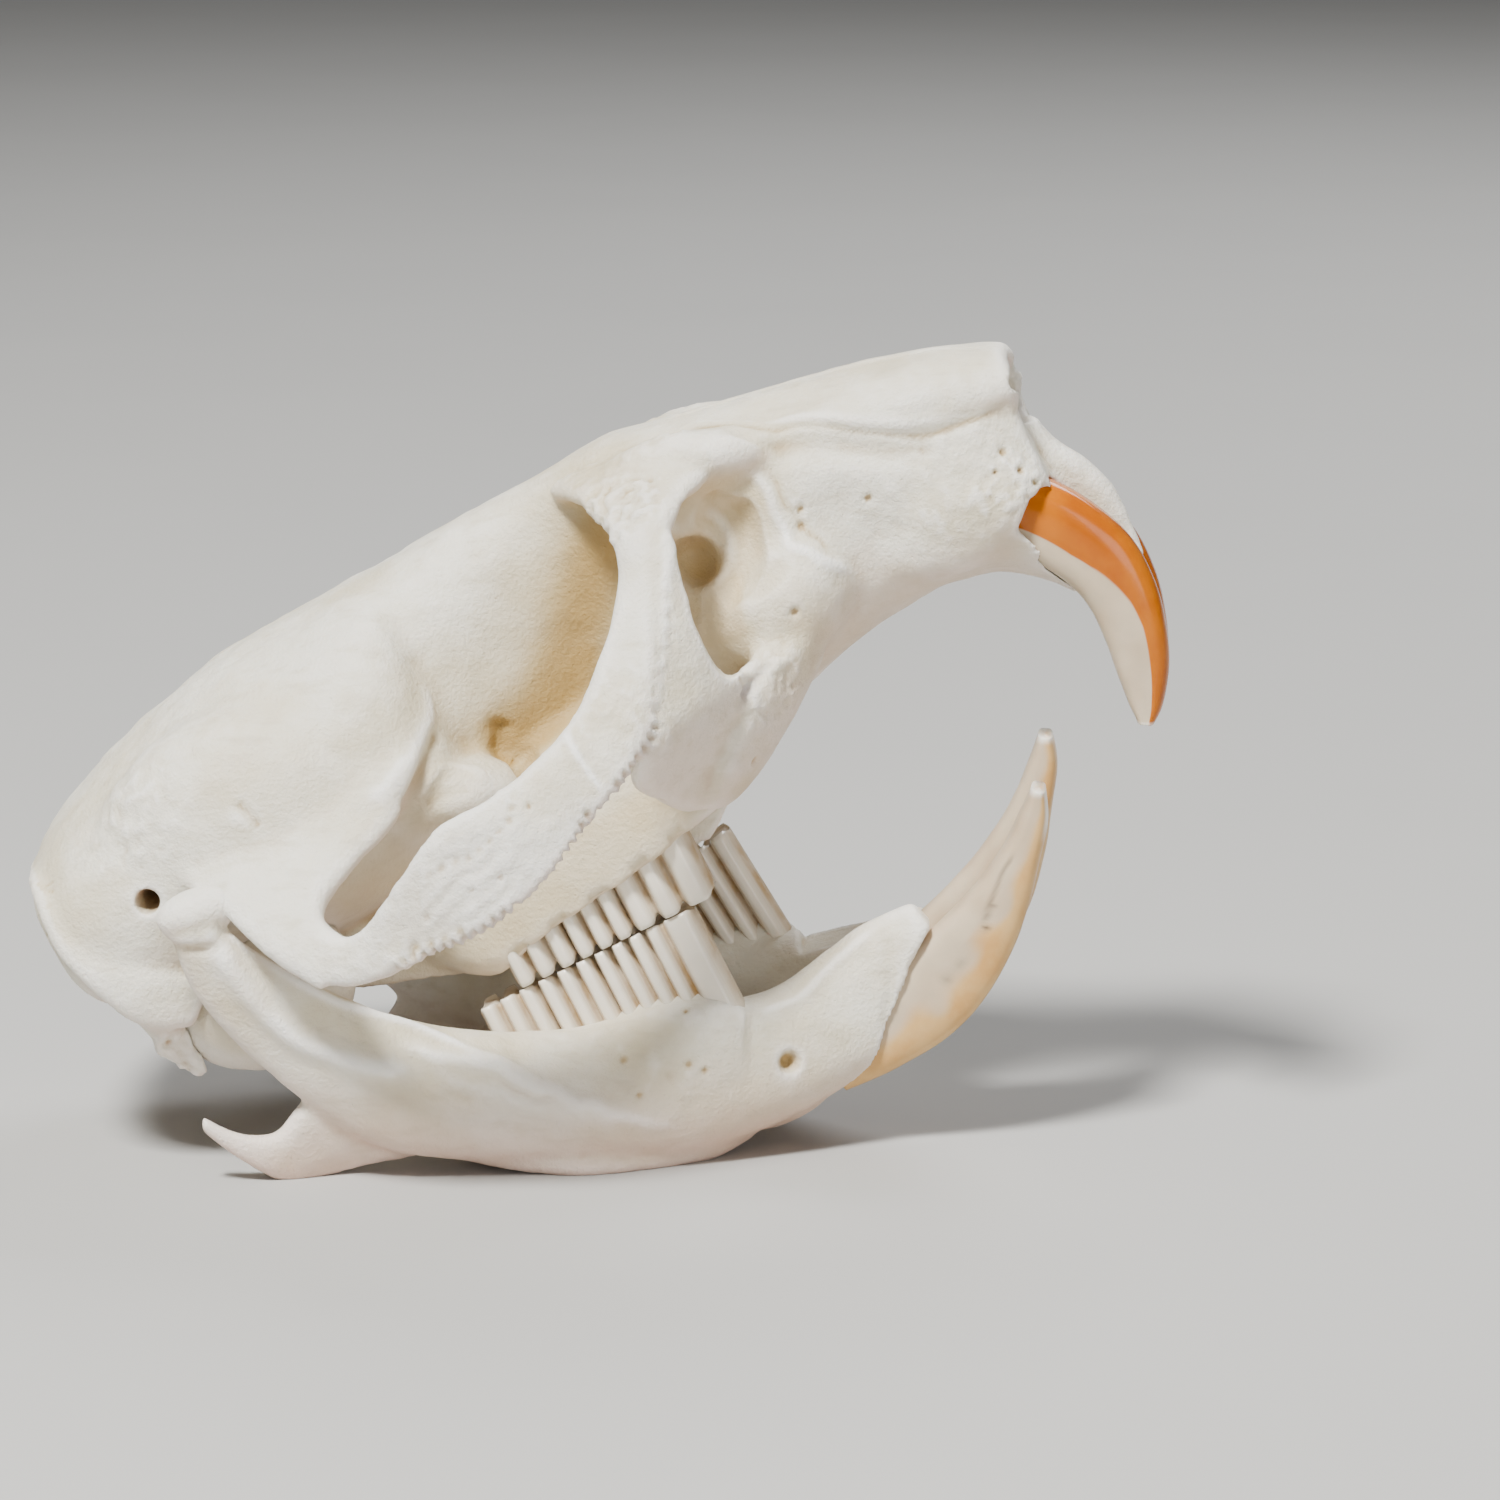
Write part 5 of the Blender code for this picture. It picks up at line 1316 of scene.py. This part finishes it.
def carve_jaw(work, side):
    """Every mark of one half of the jaw, which lies on its own side."""
    def here(points):
        """The right side's places on this side."""
        return [(x, -side * y, z) for x, y, z in points]

    # The nerve hole, darkened inside with painted shade
    work.spot(here((JAW_NERVE_HOLE,))[0], 0.55, 1.0, tint="stain", amount=0.8, power=3.0)
    # Raised crests with painted highlights
    work.line(here(((-9.2, -12.2, 8.1), (-6.4, -11.8, 6.5), (-4.1, -11.3, 5.6), (-1.8, -10.8, 4.8),
                    (0.4, -10.4, 4.2), (1.6, -9.9, 3.5))), 0.5, -0.12, tint="bright", amount=0.25,
              wander=0.4)
    work.line(here(((-10.9, -12.4, 9.1), (-8.6, -12.1, 8.5), (-6.3, -12.3, 8.1), (-4.0, -12.1, 7.3),
                    (-1.8, -11.6, 6.0), (1.4, -10.2, 4.6), (4.4, -8.8, 3.6))), 0.55, -0.3, tint="bright",
              amount=0.4, wander=0.3)
    work.line(here(((-5.4, -10.6, 9.1), (-1.0, -9.8, 7.6), (3.0, -8.8, 6.0))), 1.2, 0.22)
    work.line(here(((-8.4, -12.0, 6.4), (-4.0, -11.2, 3.8), (0.6, -9.8, 2.6))), 0.9, 0.22)
    for shift in (0.0, 1.6, 3.3, 5.0):
        work.line(here(((-10.0 + shift, -12.2, 6.8), (-7.6 + shift, -11.8, 5.2),
                        (-5.0 + shift, -11.2, 3.6))), 0.22, 0.07, wander=0.7)
    # A raised ridge with a painted highlight
    work.line(here(((-20.5, -14.7, 17.0), (-18.7, -13.9, 14.8), (-16.4, -13.4, 13.0),
                    (-13.9, -12.8, 11.7), (-11.0, -11.6, 10.5), (-9.3, -11.3, 9.8), (-6.4, -11.8, 8.9))),
              0.3, -0.2, tint="bright", amount=0.75)
    for at, size, depth in JAW_HOLLOWS:
        work.spot(here((at,))[0], size, depth)
    # A broad raised ridge with a painted highlight
    work.line(here(((-21.0, -15.0, 15.8), (-20.0, -14.9, 13.7), (-18.6, -14.5, 11.6),
                    (-17.4, -14.3, 10.4), (-16.3, -14.1, 9.5), (-14.2, -13.8, 8.6), (-12.3, -13.5, 8.0),
                    (-10.0, -12.9, 7.7))), 0.75, -0.5, tint="bright", amount=0.6)
    work.patch("stain", (-19.4, side * 14.4, 13.4), (1.6, 1.6, 3.0), 0.25)
    # Pits darkened inside with painted shade
    for at, size in JAW_PITS:
        work.spot(here((at,))[0], size, 0.28, tint="stain", amount=0.45)
    for at in JAW_DIMPLES:
        work.spot(here((at,))[0], 0.7, 0.14)
    # A raised ridge with a painted highlight
    work.line(here(((9.3, -5.6, 9.6), (11.7, -4.8, 10.4), (13.4, -4.0, 12.2), (15.7, -3.4, 14.2))), 0.35,
              -0.18, tint="bright", amount=0.3)
    work.line(here(((16.6, -3.8, 14.0), (17.0, -4.0, 11.0), (16.6, -4.0, 8.0))), 0.3, 0.1)
    work.line(here(((-22.9, -15.0, 15.3), (-21.6, -15.2, 15.2), (-20.6, -15.0, 15.3))), 0.3, 0.16)
    work.rough((2.0, side * 8.5, 7.0), (6.0, 3.0, 4.0), 1.1, 0.06, 23)
    for size, height, seed in JAW_GRAIN:
        work.grain(size, height, seed)
    work.patch("stain", (12.0, side * 3.0, 12.0), (7.0, 2.6, 2.6), 0.12)
    work.patch("stain", (-1.0, side * 8.6, 9.0), (7.0, 2.6, 1.6), 0.18)
    # Painted shade: pinkish, stronger towards the bottom of the jaw and on surfaces that face down
    low = np.clip((8.0 - work.points[:, 2]) / 8.0, 0, 1) + 0.8 * np.clip(-work.out[:, 2], 0, 1)
    work.tints["pink"] = np.clip(0.46 * low, 0, 0.6)


def jaw_pose(side):
    """How one half of the jaw lies at rest."""
    return LEFT_POSE if side > 0 else JAW_POSE


def jaw_slide(side):
    """How far the front tooth of this half has slid along x and z."""
    return LEFT_SLIDE if side > 0 else (0.0, 0.0)


def lower_incisor(side):
    """The rows of the lower front tooth of this half."""
    ahead, up = jaw_slide(side)
    return [(x + ahead, y, z + up, deep) for x, y, z, deep in LOWER_INCISOR]


def mandible_piece(name, side):
    """One half of the jaw in one skin, hollowed, carved, tinted and standing flat on the floor."""
    shapes = [limb(JAW_BEAM, 2.3, 32), ball(*JAW_CONDYLE), limb(JAW_LIP), strap(JAW_ANGLE),
              hull(JAW_RIDGE, 3.4, 2.2, y=JAW_RIDGE_Y), limb(JAW_CREST), limb(JAW_KEEL), ball(*JAW_SWELL)]
    thing = one_skin(make_object(name, shapes), *JAW_SKIN)
    cuts = [block(*JAW_INSIDE), tooth_room(lower_incisor(side), LOWER_WIDE)]
    cuts.append(prism([(x + jaw_slide(side)[0], z) for x, z in CHIN_EDGE], *CHIN_WIDE))
    if side > 0:
        cuts.append(prism(WORN_EDGE, *WORN_WIDE))
    cut_away(thing, cuts)
    one_skin(thing, bpy.context.scene.skull_bone.jaw_grain, LAST_ROUNDS)
    main_body(thing)
    if side > 0:
        thing.data.transform(Matrix.Diagonal((1, -1, 1, 1)))
        thing.data.flip_normals()
    work = Carving(thing)
    carve_jaw(work, side)
    work.shade_hollows()
    work.finish()
    place(thing, jaw_pose(side))
    points = points_of(thing.data)
    points[:, 2] = np.maximum(points[:, 2], 0.0)
    thing.data.vertices.foreach_set("co", points.ravel())
    thing.data.update()
    return thing


# Sizes and colours a user may change
class BoneSettings(bpy.types.PropertyGroup):
    """Colours of the cleaned bone."""
    ivory: FloatVectorProperty(name="Ivory", description="Main colour of the bone", subtype="COLOR",
                               default=(0.80, 0.77, 0.67), min=0, max=1)
    cream: FloatVectorProperty(name="Cream", description="Warmer clouds in the bone", subtype="COLOR",
                               default=(0.66, 0.59, 0.43), min=0, max=1)
    tan: FloatVectorProperty(name="Tan", description="Colour in grooves and hollows", subtype="COLOR",
                             default=(0.42, 0.30, 0.15), min=0, max=1)
    grain: FloatProperty(name="Cranium grain", default=0.2, min=0.1, max=0.6,
                         description="Cell size of the cranium's surface in millimetres")
    jaw_grain: FloatProperty(name="Jaw grain", default=0.17, min=0.1, max=0.6,
                             description="Cell size of the jaw's surface in millimetres")


class ToothSettings(bpy.types.PropertyGroup):
    """Colours of the teeth."""
    orange: FloatVectorProperty(name="Upper enamel", description="Front face of the upper front teeth",
                                subtype="COLOR", default=(0.50, 0.135, 0.0), min=0, max=1)
    amber: FloatVectorProperty(name="Lower enamel", description="Front face of the lower front teeth",
                               subtype="COLOR", default=(0.66, 0.43, 0.18), min=0, max=1)
    dentine: FloatVectorProperty(name="Dentine", description="Sides and backs of the front teeth",
                                 subtype="COLOR", default=(0.60, 0.49, 0.35), min=0, max=1)
    pearl: FloatVectorProperty(name="Pearl", description="Ridges of the cheek teeth", subtype="COLOR",
                               default=(0.80, 0.74, 0.63), min=0, max=1)
    groove: FloatVectorProperty(name="Groove", description="Cement between the ridges", subtype="COLOR",
                                default=(0.40, 0.25, 0.09), min=0, max=1)


class StageSettings(bpy.types.PropertyGroup):
    """The floor, lights and camera."""
    floor: FloatVectorProperty(name="Floor", description="Colour of the pale floor", subtype="COLOR",
                               default=(0.44, 0.435, 0.42), min=0, max=1)
    lens: FloatProperty(name="Lens", description="Focal length of the camera", default=134.64, min=20,
                        max=300,
                        subtype="DISTANCE_CAMERA")
    key: FloatProperty(name="Key light", description="Power of the main soft light", default=8.5, min=0)
    sky: FloatProperty(name="Sky light", description="Strength of the even light from all round",
                       default=0.11, min=0)


def finish(name, make, *looks):
    """A finish by its name, made when it is first asked for."""
    return bpy.data.materials.get(name) or make(name, *looks)


def finishes():
    """The finishes of the bone and teeth, made once from the settings."""
    bone, teeth = bpy.context.scene.skull_bone, bpy.context.scene.skull_teeth
    ivory, cream, tan = tuple(bone.ivory), tuple(bone.cream), tuple(bone.tan)
    orange, amber, dentine = tuple(teeth.orange), tuple(teeth.amber), tuple(teeth.dentine)
    return {
        "bone": finish("cleaned_bone", bone_finish, ivory, cream, tan),
        "shell": finish("thin_bone", bone_finish, cream, share_of(cream, 0.9), tan),
        "cheek": finish("cheek_enamel", cheek_finish, tuple(teeth.pearl), tuple(teeth.groove)),
        "upper": finish("orange_enamel", front_tooth_finish, orange, DEEP_ORANGE, dentine, 0.2),
        "lower": finish("amber_enamel", front_tooth_finish, amber, DEEP_AMBER, dentine, 0.3),
    }


def settle(thing, material, slot, *nodes):
    """The piece shaded, riding on the skull and standing for its solids."""
    shade(thing, material)
    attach(thing, "root")
    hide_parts(*nodes)
    return thing


class SKULL_OT_cranium(bpy.types.Operator):
    """Build the cranium with its arches, muzzle and nose bones."""
    bl_idname = "skull.cranium"
    bl_label = "Cranium"

    def execute(self, context):
        settle(cranium_piece(), finishes()["bone"], "braincase", "braincase", "face", "nasals",
               "zygomatic_arch_right", "zygomatic_arch_left")
        return {"FINISHED"}


class SKULL_OT_bullae(bpy.types.Operator):
    """Build the two ear shells."""
    bl_idname = "skull.bullae"
    bl_label = "Ear shells"

    def execute(self, context):
        for tag, side in SIDES:
            settle(bulla_piece("ear_shell" + tag, side), finishes()["shell"], "bulla" + tag, "bulla" + tag)
        return {"FINISHED"}


class SKULL_OT_upper_cheek_teeth(bpy.types.Operator):
    """Build the upper cheek teeth of both sides."""
    bl_idname = "skull.upper_cheek_teeth"
    bl_label = "Upper cheek teeth"

    def execute(self, context):
        for tag, side in SIDES:
            thing = cheek_row("upper_cheek_teeth" + tag, UPPER_TEETH, UPPER_OUTER, UPPER_INNER, True, side,
                              SKULL_POSE)
            settle(thing, finishes()["cheek"], "face", "face")
        return {"FINISHED"}


class SKULL_OT_upper_front_teeth(bpy.types.Operator):
    """Build the two orange upper front teeth."""
    bl_idname = "skull.upper_front_teeth"
    bl_label = "Upper front teeth"

    def execute(self, context):
        for tag, side in SIDES:
            node = "upper_incisor" + tag
            thing = front_tooth("upper_front_tooth" + tag, UPPER_INCISOR, UPPER_WIDE, side, SKULL_POSE,
                                upper_marks)
            settle(thing, finishes()["upper"], node, node)
        return {"FINISHED"}


class SKULL_OT_lower_jaw(bpy.types.Operator):
    """Build both halves of the lower jaw with their cheek teeth."""
    bl_idname = "skull.lower_jaw"
    bl_label = "Lower jaw"

    def execute(self, context):
        for tag, side in SIDES:
            node = "mandible" + tag
            settle(mandible_piece("jaw_half" + tag, side), finishes()["bone"], node, node)
            thing = cheek_row("lower_cheek_teeth" + tag, LOWER_TEETH, LOWER_OUTER, LOWER_INNER, False, side,
                              jaw_pose(side), BITE_TILT, HOOK if side > 0 else 0.0)
            settle(thing, finishes()["cheek"], node, node)
        return {"FINISHED"}


class SKULL_OT_lower_front_teeth(bpy.types.Operator):
    """Build the two amber lower front teeth."""
    bl_idname = "skull.lower_front_teeth"
    bl_label = "Lower front teeth"

    def execute(self, context):
        for tag, side in SIDES:
            node = "lower_incisor" + tag
            thing = front_tooth("lower_front_tooth" + tag, lower_incisor(side), LOWER_WIDE, side,
                                jaw_pose(side), lower_marks)
            settle(thing, finishes()["lower"], node, node)
        return {"FINISHED"}


# The stage, in metres and degrees unless said otherwise
FLOOR_MM = ((-3000, -3000, -10), (3000, 3000, 0))
SKY = (0.98, 0.99, 1.0, 1.0)
LIGHT_TARGET = (0.002, 0.0, 0.022)
# Each light's name, place, share of the key light's power, size and colour
LIGHTS = (
    ("key", (-0.15, -0.29, 0.50), 1.0, 0.11, (1.0, 0.99, 0.965)),
    ("fill", (0.34, -0.54, 0.14), 0.18, 0.3, (1.0, 0.97, 0.94)),
    ("back", (0.20, 0.45, 0.50), 0.35, 0.3, (0.97, 0.98, 1.0)))
CAMERA_AZIMUTH = 3.5
CAMERA_RISE = 12.0
CAMERA_AWAY = 0.330
CAMERA_TARGET = (0.0090, 0.0, 0.0233)
SENSOR_MM = 36.0


def facing(direction):
    """The turn that makes a light or a camera look along a direction."""
    return direction.to_track_quat("-Z", "Y").to_euler()


def stage_floor(colour):
    """The wide pale floor."""
    floor = make_object("floor", [block(*FLOOR_MM)])
    floor.data.transform(SCALE)
    material, tree, shader = nodes_of("pale_floor")
    speckle = add_range(tree, add_noise(tree, 40.0, 3.0), 0.3, 0.7, 0.0, 1.0)
    tree.links.new(add_mix(tree, speckle, colour, share_of(colour, 0.985)), shader.inputs["Base Color"])
    shader.inputs["Roughness"].default_value = 0.75
    floor.data.materials.append(material)


def stage_lights(scene, key, sky):
    """The even light from all round and the soft lamps."""
    if scene.world is None:
        scene.world = bpy.data.worlds.new("studio")
    scene.world.use_nodes = True
    set_numbers(scene.world.node_tree.nodes["Background"], {"Color": SKY, "Strength": sky})
    for name, at, share, size, colour in LIGHTS:
        data = bpy.data.lights.new(name, "AREA")
        data.energy = key * share
        data.size = size
        data.color = colour
        lamp = bpy.data.objects.new(name, data)
        lamp.location = at
        lamp.rotation_euler = facing(Vector(LIGHT_TARGET) - Vector(at))
        scene.collection.objects.link(lamp)


def stage_camera(scene, lens):
    """The camera, looking a little down on the skull's right side."""
    data = bpy.data.cameras.new("camera")
    data.lens = lens
    data.sensor_width = SENSOR_MM
    data.clip_start = 0.01
    camera = bpy.data.objects.new("camera", data)
    azimuth, rise = radians(CAMERA_AZIMUTH), radians(CAMERA_RISE)
    back = Vector((sin(azimuth) * cos(rise), -cos(azimuth) * cos(rise), sin(rise)))
    camera.location = Vector(CAMERA_TARGET) + back * CAMERA_AWAY
    camera.rotation_euler = facing(-back)
    scene.collection.objects.link(camera)
    scene.camera = camera


class SKULL_OT_stage(bpy.types.Operator):
    """Set up the pale floor, the soft lights and the camera."""
    bl_idname = "skull.stage"
    bl_label = "Stage"

    def execute(self, context):
        stage = context.scene.skull_stage
        stage_floor(tuple(stage.floor))
        stage_lights(context.scene, stage.key, stage.sky)
        stage_camera(context.scene, stage.lens)
        return {"FINISHED"}


OPERATORS = (SKULL_OT_cranium, SKULL_OT_bullae, SKULL_OT_upper_cheek_teeth, SKULL_OT_upper_front_teeth,
             SKULL_OT_lower_jaw, SKULL_OT_lower_front_teeth, SKULL_OT_stage)


class SKULL_PT_panel(bpy.types.Panel):
    """Sidebar panel of the skull."""
    bl_idname = "SKULL_PT_panel"
    bl_label = "Muskrat skull"
    bl_space_type = "VIEW_3D"
    bl_region_type = "UI"
    bl_category = "Skull"

    def draw(self, context):
        for group in ("skull_bone", "skull_teeth", "skull_stage"):
            settings = getattr(context.scene, group)
            box = self.layout.box()
            for name in settings.bl_rna.properties.keys():
                if name not in ("rna_type", "name"):
                    box.prop(settings, name)
        for operator in OPERATORS:
            self.layout.operator(operator.bl_idname)


CLASSES = (BoneSettings, ToothSettings, StageSettings, *OPERATORS, SKULL_PT_panel)


def register():
    """The settings, operators and panel made known to Blender."""
    for item in CLASSES:
        bpy.utils.register_class(item)
    bpy.types.Scene.skull_bone = PointerProperty(type=BoneSettings)
    bpy.types.Scene.skull_teeth = PointerProperty(type=ToothSettings)
    bpy.types.Scene.skull_stage = PointerProperty(type=StageSettings)


def unregister():
    """The settings, operators and panel taken away again."""
    del bpy.types.Scene.skull_bone
    del bpy.types.Scene.skull_teeth
    del bpy.types.Scene.skull_stage
    for item in reversed(CLASSES):
        bpy.utils.unregister_class(item)


def main():
    """The whole model and its stage."""
    register()
    bpy.ops.skull.cranium()
    bpy.ops.skull.bullae()
    bpy.ops.skull.upper_cheek_teeth()
    bpy.ops.skull.upper_front_teeth()
    bpy.ops.skull.lower_jaw()
    bpy.ops.skull.lower_front_teeth()
    bpy.ops.skull.stage()


if __name__ == "__main__":
    main()
